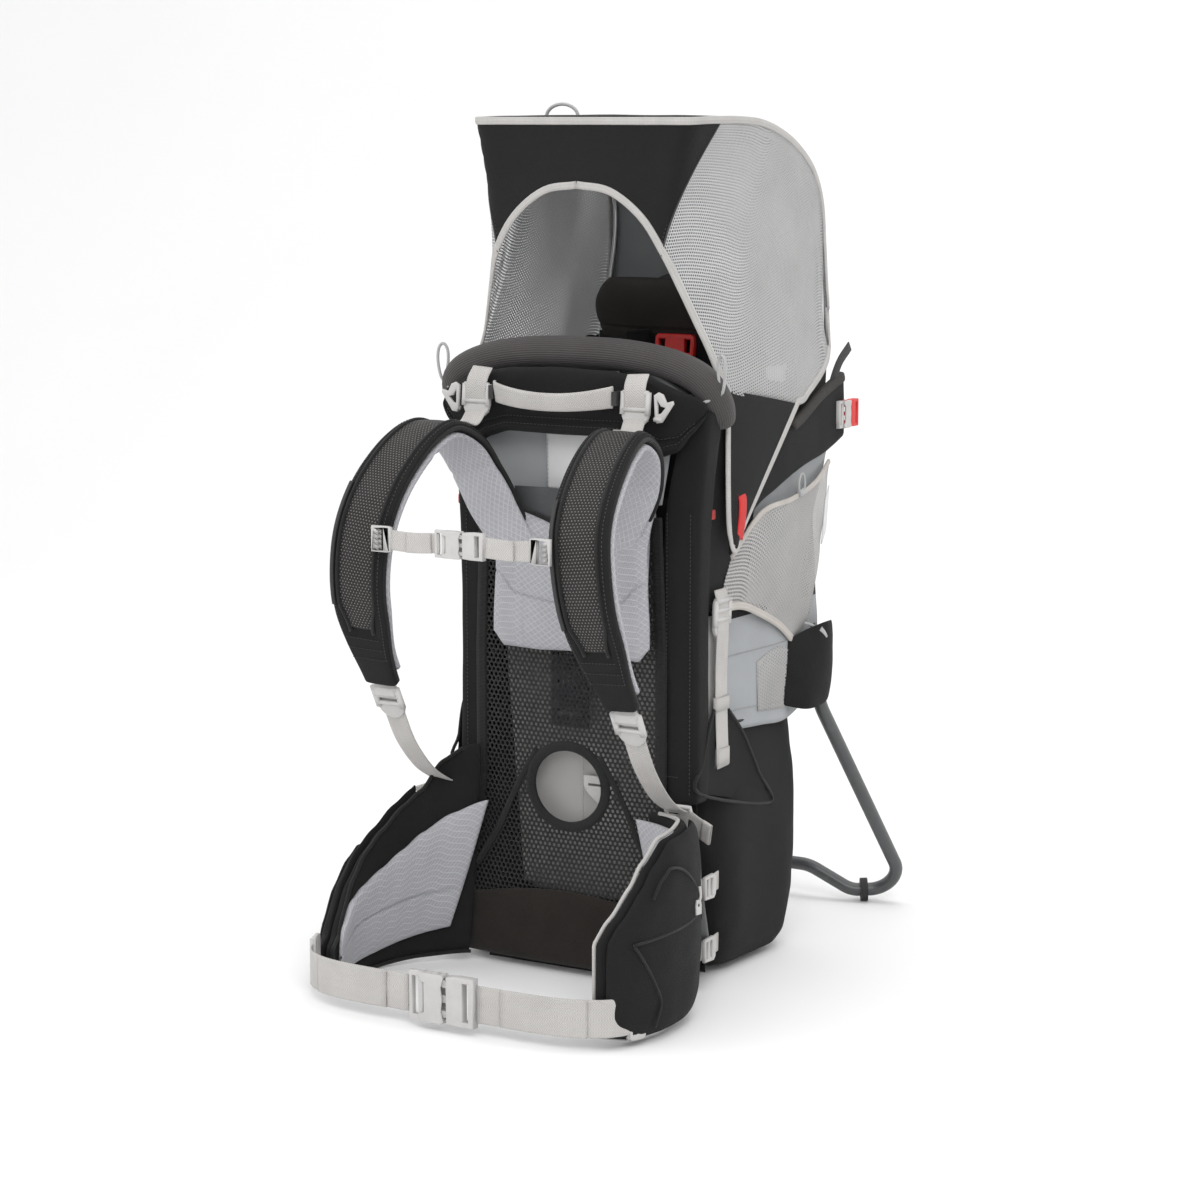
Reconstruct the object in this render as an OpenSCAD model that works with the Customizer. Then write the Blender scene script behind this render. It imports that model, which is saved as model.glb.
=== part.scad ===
// Framed child carrier backpack: tube frame with a fold-out stand, child cockpit, sunshade, and a
// wearer's harness with hip belt. Millimetres. Z is up, the wearer stands at -Y, and the origin is
// on the floor midway between the uprights' lower ends.

/* [Frame] */
// Distance between the outer corners of the frame's foot
foot_w = 296; // [280:2:310]
// Distance between the two uprights at the wearer's back
waist_w = 224; // [220:2:230]
// Height of the front top bar's centre line
bar_z = 640; // [635:1:650]
// Radius of the main frame tube
frame_r = 8; // [7:0.5:8]
// Wall of every frame tube
tube_wall = 1.5; // [1:0.1:2]

/* [Stand] */
// Distance that the stand's feet reach behind the uprights
stand_reach = 400; // [390:1:405]
// Height of the stand's pivots
stand_pivot_z = 325; // [320:1:330]
// Radius of the stand's tube
stand_r = 7.5; // [6.5:0.5:7.5]

/* [Sunshade] */
// Height of the sunshade's roof
shade_z = 882; // [860:1:900]
// Half width of the sunshade's roof
shade_half_w = 126; // [122:1:128]

/* [Webbing] */
// Width of the belt webbing
belt_w = 38; // [36:1:40]
// Width of the other webbing
strap_w = 25; // [22:1:25]
// Thickness of webbing
web_t = 1.8; // [1.4:0.1:1.9]

/* [Hidden] */
$fn = 48;
frame_y = 10;
hoop_r = 7;
rail_x = 126;
rail_z = stand_pivot_z - 7;
hoop_back_y = 282;
pivot_y = 250;
stand_x = 152;
pin_r = 4;
wing_centre = [60, -150];
wing_r = 130;
shade_pivot = [283, 640];
wire_r = 3;
shade_y0 = 5;
tail_x = 154.5;
strap_x = 127;
strap_pad_w = 60;
strap_pad_t = 13;
liner_t = 4;
belt_y = -258;
belt_z = 33;
sternum_y = -221.5;
sternum_z = 478;
stirrup_x = 147;
stirrup_y = 37;
handle_half_w = 69;
handle_y = -46;
handle_z = 610;
slip = 0.05;  // radial running clearance
gap = 0.4;    // clearance between sewn pieces
seam = 0.02;  // hairline between a tube's straight runs and its bends

// ---------------------------------------------------------------- helpers

function unit(v) = v / norm(v);
function between(u, v) = acos(max(-1, min(1, unit(u) * unit(v))));
function flip_x(p) = [-p.x, p.y, p.z];
function reversed(l) = [for (i = [len(l) - 1 : -1 : 0]) l[i]];
// Length that a bend of radius r takes off each straight at corner i of a path
function trim(p, i, r) = r / tan(between(p[i - 1] - p[i], p[i + 1] - p[i]) / 2);
function side_step(p, i) =
    let (d = unit(p[min(i + 1, len(p) - 1)] - p[max(i - 1, 0)])) [-d.y, d.x];
// Outline of a strip of thickness t whose middle line is p, shifted sideways by s
function ribbon(p, t, s = 0) = concat(
    [for (i = [0 : len(p) - 1]) p[i] + side_step(p, i) * (s + t / 2)],
    [for (i = [len(p) - 1 : -1 : 0]) p[i] + side_step(p, i) * (s - t / 2)]);

module pair() {
    children();
    mirror([1, 0, 0]) children();
}

module block(low, high) translate(low) cube(high - low);

module tube_section(r, wall) difference() {
    circle(r);
    if (wall > 0) circle(r - wall);
}

module straight_run(a, b, r, wall) {
    d = b - a;
    translate(a) rotate([0, acos(d.z / norm(d)), atan2(d.y, d.x)])
        linear_extrude(norm(d)) tube_section(r, wall);
}

module bend_run(a, b, c, bend, r, wall) {
    u = unit(a - b);
    v = unit(c - b);
    corner = between(u, v);
    centre = b + unit(u + v) * bend / sin(corner / 2);
    x = unit(b + u * bend / tan(corner / 2) - centre);
    n = unit(cross(-u, v));
    y = cross(n, x);
    multmatrix([[x.x, y.x, n.x, centre.x], [x.y, y.y, n.y, centre.y],
                [x.z, y.z, n.z, centre.z], [0, 0, 0, 1]])
        rotate_extrude(angle = 180 - corner) translate([bend, 0]) tube_section(r, wall);
}

// Tube along the path p, with a bend of radius bends[i] at corner i
module bent_tube(p, bends, r, wall = 0) {
    last = len(p) - 1;
    for (i = [0 : last - 1]) {
        along = unit(p[i + 1] - p[i]);
        start = i == 0 ? p[0] : p[i] + along * trim(p, i, bends[i]);
        end = i == last - 1 ? p[last] : p[i + 1] - along * trim(p, i + 1, bends[i + 1]);
        straight_run(start + along * seam, end - along * seam, r, wall);
    }
    for (i = [1 : last - 1]) bend_run(p[i - 1], p[i], p[i + 1], bends[i], r, wall);
}

// Flat plate in a plane across X, from x0 to x1, with an outline of [y, z] points
module side_plate(x0, x1, outline)
    translate([x0, 0, 0]) rotate([90, 0, 90]) linear_extrude(x1 - x0) polygon(outline);

// Flat plate in a plane across Y, from y0 to y1, with an outline of [x, z] points
module front_plate(y0, y1, outline)
    translate([0, y1, 0]) rotate([90, 0, 0]) linear_extrude(y1 - y0) polygon(outline);

module rod_x(x0, x1, y, z, r) translate([x0, y, z]) rotate([0, 90, 0]) cylinder(r = r, h = x1 - x0);

// Ladderlock adjuster seen from -Y: a frame with two cross bars and a clear channel for webbing
module ladderlock(w = 33, h = 30, t = 9) difference() {
    block([-w / 2, -t / 2, -h / 2], [w / 2, t / 2, h / 2]);
    block([-w / 2 + 3, -1.6, -h], [w / 2 - 3, 1.6, h]);
    for (z = [-h / 4, h / 8])
        block([-w / 2 + 4, -t, z], [w / 2 - 4, 0, z + h / 5]);
}

// ---------------------------------------------------------------- frame

foot_z = 20;
frame_half = [[0, frame_y, foot_z], [foot_w / 2, frame_y, foot_z], [waist_w / 2, frame_y, 250],
    [waist_w / 2, frame_y, 500], [146, frame_y, bar_z - 48], [70, frame_y, bar_z]];
frame_path = concat(frame_half, [for (p = reversed(frame_half)) flip_x(p)]);
frame_bends = [0, 26, 120, 120, 40, 90, 90, 40, 120, 120, 26, 0];

module frame_tube() color("dimgray") bent_tube(frame_path, frame_bends, frame_r, tube_wall);

// Rubber skid under the frame's bottom tube, with the flat face that the pack stands on
skid_half_l = 108;
module base_skid() color("black") difference() {
    union() {
        rod_x(-skid_half_l, skid_half_l, frame_y, foot_z, 13);
        block([-skid_half_l, frame_y - 13, 0], [skid_half_l, frame_y + 13, foot_z]);
    }
    rod_x(-skid_half_l - 1, skid_half_l + 1, frame_y, foot_z, frame_r + slip);
}

pad_path = concat([[130, frame_y, 547.65]], [for (i = [4 : 7]) frame_path[i]], [[-130, frame_y, 547.65]]);
module front_pad() color("dimgray") bent_tube(pad_path, [0, 40, 90, 90, 40, 0], 15.5, 15.5 - frame_r - gap);

hoop_half = [[rail_x, 27, rail_z], [rail_x, pivot_y, rail_z], [118, hoop_back_y, 640], [66, 290, 712]];
hoop_path = concat(hoop_half, [for (p = reversed(hoop_half)) flip_x(p)]);
module seat_hoop() color("gray") bent_tube(hoop_path, [0, 45, 55, 60, 60, 55, 45, 0], hoop_r, tube_wall);

module side_brackets() color("black") pair() difference() {
    block([waist_w / 2 - 11, -2, rail_z - 14], [rail_x + 11, 52, rail_z + 14]);
    translate([waist_w / 2, frame_y, rail_z - 20]) cylinder(r = frame_r + slip, h = 40);
    translate([rail_x, 26.5, rail_z]) rotate([-90, 0, 0]) cylinder(r = hoop_r + slip, h = 40);
}

module stand_housings() color("black") pair() difference() {
    union() {
        block([rail_x - 9, 168, rail_z - 14], [142.5, 203, rail_z + 14]);
        block([134, 168, rail_z - 14], [142.5, pivot_y + 18, stand_pivot_z + 18]);
    }
    translate([rail_x, 160, rail_z]) rotate([-90, 0, 0]) cylinder(r = hoop_r + slip, h = 50);
    rod_x(130, 150, pivot_y, stand_pivot_z, pin_r);
}

module stand_pins() color("silver") pair() {
    rod_x(134, 160.2, pivot_y, stand_pivot_z, pin_r);
    rod_x(160.2, 163, pivot_y, stand_pivot_z, 8);
}

stand_half = [[stand_x, pivot_y, stand_pivot_z + 14], [stand_x, pivot_y, 268],
    [183, stand_reach + 30, 15], [128, stand_reach - 2, 13], [78, stand_reach - 10, 38]];
stand_path = concat(stand_half, [for (p = reversed(stand_half)) flip_x(p)]);
foot_a = stand_half[3] + unit(stand_half[2] - stand_half[3]) * 10.5;
foot_b = stand_half[3] + unit(stand_half[2] - stand_half[3]) * 18.5;

module stand_tube() color("darkslategray") difference() {
    bent_tube(stand_path, [0, 90, 30, 30, 40, 40, 30, 30, 90, 0], stand_r, tube_wall);
    pair() rod_x(140, 165, pivot_y, stand_pivot_z, pin_r + slip);
}

module stand_feet() color("black") pair() straight_run(foot_a, foot_b, 13.3, 13.3 - stand_r - slip);

// ---------------------------------------------------------------- wearer's back and hip belt

panel_half = [[148, 14], [148, 70], [128, 130], [116, 200], [111, 340], [104, 500]];
module back_panel() color("black") difference() {
    front_plate(-20, -16, concat(panel_half, [for (p = reversed(panel_half)) [-p.x, p.y]]));
    translate([0, 0, 200]) rotate([90, 0, 0]) cylinder(r = 43, h = 60, center = true);
}

module lumbar_pad() color("black") block([-112, -31, 14], [112, -20 - gap, 78]);

// Curved wall around the wearer's hip, from angle a0 to a1, between two radii
module hip_arc(r0, r1, a0, a1) translate([wing_centre.x, wing_centre.y, 0]) rotate([0, 0, a0])
    rotate_extrude(angle = a1 - a0) translate([r0, 0]) square([r1 - r0, 200]);

// Side outline shared by the hip wing and its lining; edge pulls it in
function wing_outline(edge) = [[-10, 14 + edge], [-10, 172 - edge], [-90, 166 - edge],
    [-150, 142 - edge], [-205, 100 - edge], [-245, 66 - edge], [-245, 16 + edge], [-200, 6 + edge],
    [-120, 4 + edge]];

module hip_layer(r0, r1, a0, a1, edge) intersection() {
    hip_arc(r0, r1, a0, a1);
    side_plate(90, 220, wing_outline(edge));
}

module hip_wings() color("black") pair() hip_layer(wing_r - 6, wing_r + 6, -36, 64, 0);
module hip_liners() color("lightgray") pair() hip_layer(wing_r - 12, wing_r - 6 - gap, -33, 63, 7);

module hip_pockets() color("black") pair() intersection() {
    hip_arc(wing_r + 6 + gap, wing_r + 25, -8, 42);
    block([90, -250, 24], [230, 0, 118]);
}

module pocket_pull() {
    block([203, -128, 118 + gap], [207, -116, 121]);
    block([203, -126, 121], [206, -118, 136]);
}
module pocket_pull_right() color("lightgray") pocket_pull();
module pocket_pull_left() color("lightgray") mirror([1, 0, 0]) pocket_pull();

belt_path = [[193.5, -196], [183, -224], [163, -243], [122, belt_y + 3], [39, belt_y]];
module belt_webs() color("whitesmoke") pair() translate([0, 0, belt_z - belt_w / 2])
    linear_extrude(belt_w) polygon(ribbon(belt_path, web_t));

// Side-release buckle, half length l, height h, thickness t: the socket opens towards +X
module buckle_socket(l, h, t) difference() {
    block([-l, -t / 2, -h / 2], [l * 0.1, t / 2, h / 2]);
    block([-l * 0.7, -t / 2 + 2, -h / 2 + 2.5], [l, t / 2 - 2, h / 2 - 2.5]);
    for (s = [-1, 1]) block([-l * 0.62, -t, s * h / 2 - 3], [-l * 0.2, t, s * h / 2 + 3]);
}

module buckle_plug(l, h, t) {
    block([l * 0.13, -t / 2, -h / 2], [l, t / 2, h / 2]);
    for (z = [-0.3 * h, 0, 0.3 * h])
        block([-l * 0.55, -t / 2 + 2.4, z - h * 0.08], [l * 0.14, t / 2 - 2.4, z + h * 0.08]);
}

module belt_socket() color("lightgray") translate([0, belt_y, belt_z]) buckle_socket(38, 50, 13);
module belt_plug() color("lightgray") translate([0, belt_y, belt_z]) buckle_plug(38, 50, 13);

module belt_adjusters() color("lightgray") pair() translate([189.75, -206, belt_z]) rotate([0, 0, -110])
    difference() {
        block([-9, -4.5, -26], [9, 5, 26]);
        block([-30, -2, -belt_w / 2 - 1], [30, 2, belt_w / 2 + 1]);
        block([-4, 0, -belt_w / 2 - 1], [4, 20, belt_w / 2 + 1]);
    }

// ---------------------------------------------------------------- top panel, handle, lifters

// Thin panel above the back panel, with a padded band along its top that carries the webbing
module top_panel() color("black") {
    front_plate(-20, -15, [[-104, 506], [104, 506], [126, 556], [126, 585], [-126, 585], [-126, 556]]);
    front_plate(-32, -15, [[-126, 585], [126, 585], [120, 612], [70, 622], [-70, 622], [-120, 612]]);
}

// Ladderlocks on the top panel for the load lifters, and on the sides for the stirrups
module frame_ladderlocks() color("lightgray") pair() {
    translate([94, -42, 606]) ladderlock();
    translate([stirrup_x, stirrup_y, 384]) rotate([0, 0, 90]) ladderlock();
}

module load_lifters() color("whitesmoke") pair() side_plate(94 - strap_w / 2, 94 + strap_w / 2,
    ribbon([[-42, 617], [-42, 590], [-52, 572], [-74, 581]], web_t));

// Webbing handle with a bored ferrule at each end, which turns on the anchors' round pins
handle_pin_r = 2.5;
module grab_handle() color("whitesmoke") difference() {
    union() {
        translate([0, 0, handle_z - strap_w / 2]) linear_extrude(strap_w)
            polygon(ribbon([for (a = [-90 : 22.5 : 90])
                [handle_half_w * sin(a), handle_y - 14 * cos(a)]], web_t));
        pair() rod_x(handle_half_w - 9, handle_half_w, handle_y, handle_z, 5);
    }
    pair() rod_x(handle_half_w - 10, handle_half_w + 5, handle_y, handle_z, handle_pin_r + slip);
}
module handle_anchors() color("black") pair() {
    block([handle_half_w + 1, handle_y - 4, handle_z - 7], [handle_half_w + 6.6, -32 - gap, handle_z + 7]);
    rod_x(handle_half_w - 8, handle_half_w + 3, handle_y, handle_z, handle_pin_r);
}

module stow_hooks() color("lightgray") pair()
    front_plate(-43, -39, [[113, 588], [118, 588], [130, 606], [118, 618], [114, 616]]);

// ---------------------------------------------------------------- wearer's harness

module yoke_pad() color("lightgray") front_plate(-36, -25, [[-64, 342], [64, 342], [80, 358], [70, 440],
    [96, 486], [90, 520], [-90, 520], [-96, 486], [-70, 440], [-80, 358]]);
module yoke_plate() color("dimgray") block([-60, -24.6, 352], [60, -21, 512]);
module torso_track() color("dimgray") difference() {
    block([-22, -15.6, 262], [22, -12, 500]);
    for (i = [0 : 6]) block([-14, -20, 274 + i * 32], [14, -5, 280 + i * 32]);
}

// Middle line of a shoulder strap in the [y, z] plane: up from the yoke, over the shoulder, down in front
shoulder_line = [[-45, 500], [-49, 540], [-66, 566], [-98, 578], [-137, 566], [-176, 535],
    [-200, 500], [-208, 462], [-203, 415], [-180, 365], [-150, 318]];

module shoulder_side(t, s, w) pair()
    side_plate(strap_x - w / 2, strap_x + w / 2, ribbon(shoulder_line, t, s));
module shoulder_straps() color("black") shoulder_side(strap_pad_t, 0, strap_pad_w);
module strap_liners() color("lightgray")
    shoulder_side(liner_t, (strap_pad_t + liner_t) / 2 + gap, strap_pad_w - 8);

module strap_ladderlocks() color("lightgray") pair()
    translate([142, -137, 296]) rotate([28, 0, 0]) ladderlock();

module strap_webs() color("whitesmoke") pair() side_plate(142 - strap_w / 2, 142 + strap_w / 2,
    ribbon([[-144, 309], [-131, 285], [-92, 232], [-30, 196]], web_t));

module web_anchors() color("lightgray") pair()
    block([128, -29, 178], [157, -24, 204]);

// ---------------------------------------------------------------- sternum strap

clip_x = 94;
// Rails along the shoulder straps' inner edges, on which the clips ride up and down
module sternum_rails() color("dimgray") pair() side_plate(99, 103,
    ribbon([for (i = [5 : 8]) shoulder_line[i]], 2, -strap_pad_t / 2 - gap - 1));
module sternum_clips() color("lightgray") pair() translate([clip_x, sternum_y, sternum_z]) difference() {
    block([-14, -3, -13], [10, 3, 13]);
    block([-15, -1.3, -11], [-2, 1.3, 11]);
}
module sternum_webs() color("whitesmoke") pair() translate([0, sternum_y, sternum_z])
    block([29, -web_t / 2, -10], [clip_x - 3, web_t / 2, 10]);
module sternum_socket() color("lightgray") translate([0, sternum_y, sternum_z]) buckle_socket(28, 27, 10);
module sternum_plug() color("lightgray") translate([0, sternum_y, sternum_z]) buckle_plug(28, 27, 10);

// ---------------------------------------------------------------- child cockpit

module side_walls() color("black") pair() side_plate(136, 139, [[24, 350], [24, 545], [50, 606],
    [278, 606], [268, 470], [235, 352]]);
module side_wings() color("black") pair() side_plate(139 + gap, 143, [[62, 440], [62, 575], [200, 588],
    [318, 600], [306, 538], [143, 492], [100, 446]]);
module side_pockets() color("silver") pair() side_plate(143 + gap, 150, [[58, 384], [88, 464], [272, 497],
    [262, 400], [216, 332], [150, 362]]);

// Child's foot stirrup: webbing that slides in its ladderlock, and a three-cornered foot loop
module stirrup() {
    block([stirrup_x - web_t / 2, stirrup_y - strap_w / 2, 226],
          [stirrup_x + web_t / 2, stirrup_y + strap_w / 2, 410]);
    side_plate(stirrup_x - 1.4, stirrup_x + 1.4, [[20, 226], [62, 226], [122, 188], [50, 172]]);
}
module stirrup_right() color("black") stirrup();
module stirrup_left() color("black") mirror([1, 0, 0]) stirrup();

module pull_tabs() color("red") pair() block([150.3, 58, 458], [152.3, 72, 508]);

// Buckle that closes the cockpit's side wing to the pack's back
module wrap_place() translate([151, 322, 568]) rotate([0, 0, 90]) children();
module wrap_sockets() color("silver") pair() wrap_place() buckle_socket(22, 30, 11);
module wrap_plug_right() color("red") wrap_place() buckle_plug(22, 30, 11);
module wrap_plug_left() color("red") mirror([1, 0, 0]) wrap_plug_right();

module back_cushion() color("black") front_plate(234, 258, [[-92, 352], [92, 352], [104, 470],
    [104, 640], [80, 700], [40, 726], [-40, 726], [-80, 700], [-104, 640], [-104, 470]]);
module child_seat() color("gray") block([-92, 66, 326], [92, 226, 344]);
module child_harness() color("black") pair() block([26, 226.5, 430], [58, 233.5, 660]);
module chest_buckle() color("red") block([-24, 216, 560], [24, 226, 584]);

// ---------------------------------------------------------------- bags

module lower_bag() color("black") side_plate(-141, 141, [[28, 6], [100, 5], [170, 14], [205, 46], [226, 110],
    [236, 220], [236, 298], [28, 298]]);
module bag_zip_pull() color("lightgray") translate([0, 0, 262]) {
    block([-7, 236 + gap, -4], [7, 240, 4]);
    block([-4, 238, -24], [4, 240, -4]);
}
module rear_pocket() color("black") side_plate(-104, 104, [[259, 352], [259, 606], [300, 604], [318, 540],
    [312, 430], [290, 352]]);

// ---------------------------------------------------------------- sunshade

shade_half = [[136, shade_pivot.x, shade_pivot.y], [134, 276, shade_z], [shade_half_w, shade_y0, shade_z]];
shade_path = concat(shade_half, [for (p = reversed(shade_half)) flip_x(p)]);
module shade_hoop() color("silver") difference() {
    union() {
        bent_tube(shade_path, [0, 85, 20, 20, 85, 0], wire_r);
        pair() rod_x(133, 139, shade_pivot.x, shade_pivot.y, 8);
    }
    pair() rod_x(132, 140, shade_pivot.x, shade_pivot.y, wire_r + slip);
}

wall_tilt = 6;
wall_low_z = 628;
// Wall of the hood above the cockpit: front edge, lower edge, rear edge and rounded rear top corner
wall_outline = concat([[shade_y0 + 3, shade_z - 6], [shade_y0 + 3, wall_low_z], [270, wall_low_z + 20]],
    [for (a = [0 : 15 : 90]) [190 + 78 * cos(a), shade_z - 86 + 80 * sin(a)]]);

module shade_wall() translate([tail_x - 1, 0, wall_low_z]) rotate([0, -wall_tilt, 0])
    translate([0, 0, -wall_low_z]) side_plate(-2, 0, wall_outline);

module shade_tail() side_plate(tail_x - 1.5, tail_x + 1.5, [[shade_y0 + 3, wall_low_z + 1], [44, 612],
    [34, 458], [44, 450], [56, 460], [210, 586], [209, wall_low_z + 12]]);

// Front valance with the arched opening over the wearer's head
module shade_valance() front_plate(shade_y0 + 4, shade_y0 + 6, concat(
    [[-126, shade_z - 6], [-131, 700], [-116, 700]],
    [for (a = [165 : -15 : 15]) [118 * cos(a), 700 + 112 * sin(a)]],
    [[116, 700], [131, 700], [126, shade_z - 6]]));

// Roof that runs back from the valance and turns down over the rear corner
roof_line = concat([[shade_y0 + 4, shade_z - 8]],
    [for (a = [90 : -15 : 0]) [190 + 76 * cos(a), shade_z - 86 + 78 * sin(a)]], [[266, 760]]);

module shade_canopy() color("lightgray") {
    pair() shade_wall();
    pair() shade_tail();
    shade_valance();
    side_plate(-126, 126, ribbon(roof_line, 2));
}

// Loose rear curtain between the roof and the pack, which folds up as the sunshade tips back
module shade_rear() color("lightgray") block([-130, 264, 650], [130, 266, 756]);

module corner_loops() color("lightgray") pair() translate([171, -2, 634]) rotate([90, 0, 0])
    rotate_extrude() translate([12, 0]) circle(1.6);

module shade_pivots() color("black") pair() {
    rod_x(131, 139.6, shade_pivot.x, shade_pivot.y, wire_r);
    rod_x(139.6, 142, shade_pivot.x, shade_pivot.y, 6);
    block([125.5, shade_pivot.x - 11, shade_pivot.y - 12], [132.5, shade_pivot.x + 11, shade_pivot.y + 12]);
}

frame_tube();
base_skid();
front_pad();
seat_hoop();
side_brackets();
stand_housings();
stand_pins();
stand_tube();
stand_feet();
back_panel();
lumbar_pad();
hip_wings();
hip_liners();
hip_pockets();
pocket_pull_left();
pocket_pull_right();
belt_webs();
belt_socket();
belt_plug();
belt_adjusters();
top_panel();
frame_ladderlocks();
load_lifters();
grab_handle();
handle_anchors();
stow_hooks();
side_walls();
side_wings();
side_pockets();
stirrup_left();
stirrup_right();
pull_tabs();
wrap_sockets();
wrap_plug_left();
wrap_plug_right();
back_cushion();
child_seat();
child_harness();
chest_buckle();
lower_bag();
rear_pocket();
bag_zip_pull();
shade_hoop();
shade_canopy();
shade_rear();
corner_loops();
shade_pivots();
yoke_pad();
yoke_plate();
torso_track();
shoulder_straps();
strap_liners();
strap_ladderlocks();
strap_webs();
web_anchors();
sternum_rails();
sternum_clips();
sternum_webs();
sternum_socket();
sternum_plug();
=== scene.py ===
import math

import bmesh
import bpy
from mathutils import Matrix, Vector, noise


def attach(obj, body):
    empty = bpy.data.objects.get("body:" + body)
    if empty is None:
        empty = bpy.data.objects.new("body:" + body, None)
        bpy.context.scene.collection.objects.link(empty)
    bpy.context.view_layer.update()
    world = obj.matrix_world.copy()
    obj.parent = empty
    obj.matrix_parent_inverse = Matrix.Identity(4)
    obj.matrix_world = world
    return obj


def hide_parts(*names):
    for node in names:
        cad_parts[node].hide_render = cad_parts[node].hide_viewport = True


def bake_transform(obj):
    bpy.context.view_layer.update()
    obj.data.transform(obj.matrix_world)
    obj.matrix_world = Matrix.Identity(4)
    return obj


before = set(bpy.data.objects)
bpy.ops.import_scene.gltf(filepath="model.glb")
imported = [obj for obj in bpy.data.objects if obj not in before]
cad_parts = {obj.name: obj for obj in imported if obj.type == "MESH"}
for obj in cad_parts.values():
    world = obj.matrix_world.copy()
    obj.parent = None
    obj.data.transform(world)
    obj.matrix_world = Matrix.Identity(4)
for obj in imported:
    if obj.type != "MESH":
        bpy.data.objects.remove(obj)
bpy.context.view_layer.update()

MM = 0.001
SCENE = bpy.context.scene
SIDES = {"right": 1, "left": -1}
X_AXIS = Vector((1, 0, 0))
Y_AXIS = Vector((0, 1, 0))
Z_AXIS = Vector((0, 0, 1))


# ------------------------------------------------------------------ curves and sections

def mix(a, b, t):
    return a + (b - a) * t


def bump(t, centre, half_width):
    """1 at the centre, falling smoothly to 0 at half_width either side."""
    d = min(1.0, abs(t - centre) / half_width)
    return (1 - d * d) ** 2


def curve_at(points, s):
    """Point at parameter s of the smooth curve through the points, where point i is at s = i."""
    last = len(points) - 1
    i = max(0, min(last - 1, int(math.floor(s))))
    t = s - i
    b, c = Vector(points[i]), Vector(points[i + 1])
    a = Vector(points[i - 1]) if i > 0 else b * 2 - c
    d = Vector(points[i + 2]) if i + 2 <= last else c * 2 - b
    return (b * 2 + (c - a) * t + (a * 2 - b * 5 + c * 4 - d) * t ** 2
            + (b * 3 - a - c * 3 + d) * t ** 3) * 0.5


def smooth(points, steps=6):
    """The smooth curve through the points, cut into that many steps per span."""
    count = (len(points) - 1) * steps
    return [curve_at(points, k / steps) for k in range(count + 1)]


def even(line, count):
    """The polyline again, as count + 1 points at equal distances."""
    reach = [0.0]
    for a, b in zip(line, line[1:]):
        reach.append(reach[-1] + (b - a).length)
    out, i = [], 0
    for k in range(count + 1):
        target = reach[-1] * k / count
        while i < len(line) - 2 and reach[i + 1] < target:
            i += 1
        span = max(1e-9, reach[i + 1] - reach[i])
        out.append(mix(line[i], line[i + 1], min(1.0, (target - reach[i]) / span)))
    return out


def flip(p):
    return Vector((-p[0], p[1], p[2]))


def side_of(p, side):
    return Vector((p[0] * side, p[1], p[2]))


def oval(half_w, half_t, power=2.0, count=12):
    """Section that starts at the middle of its lower side; a high power makes it boxy."""
    out = []
    for k in range(count):
        angle = 2 * math.pi * k / count - math.pi / 2
        c, s = math.cos(angle), math.sin(angle)
        out.append((math.copysign(abs(c) ** (2 / power), c) * half_w,
                    math.copysign(abs(s) ** (2 / power), s) * half_t))
    return out


def tangents(line):
    last = len(line) - 1
    return [(line[min(i + 1, last)] - line[max(i - 1, 0)]).normalized() for i in range(last + 1)]


def cross_frames(line, across):
    """(point, across, normal) along the line; across is one vector, or one for each point."""
    out = []
    for i, (p, t) in enumerate(zip(line, tangents(line))):
        a = across[i] if isinstance(across, list) else across
        a = (a - t * a.dot(t)).normalized()
        out.append((p, a, t.cross(a)))
    return out


def carried_frames(line):
    """(point, across, normal) carried along the line without twist."""
    out, t0 = [], None
    for p, t in zip(line, tangents(line)):
        if t0 is None:
            start = Z_AXIS if abs(t.z) < 0.9 else X_AXIS
            a = (start - t * start.dot(t)).normalized()
        else:
            a = t0.rotation_difference(t) @ a
        t0 = t
        out.append((p, a, t.cross(a)))
    return out


def wander(p, size, seed=0.0):
    """Smooth noise from -1 to 1 at point p, the same on every run."""
    return noise.noise(Vector(p) / size + Vector((seed, seed * 1.7, seed * 0.6)))


# ------------------------------------------------------------------ meshes

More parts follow.
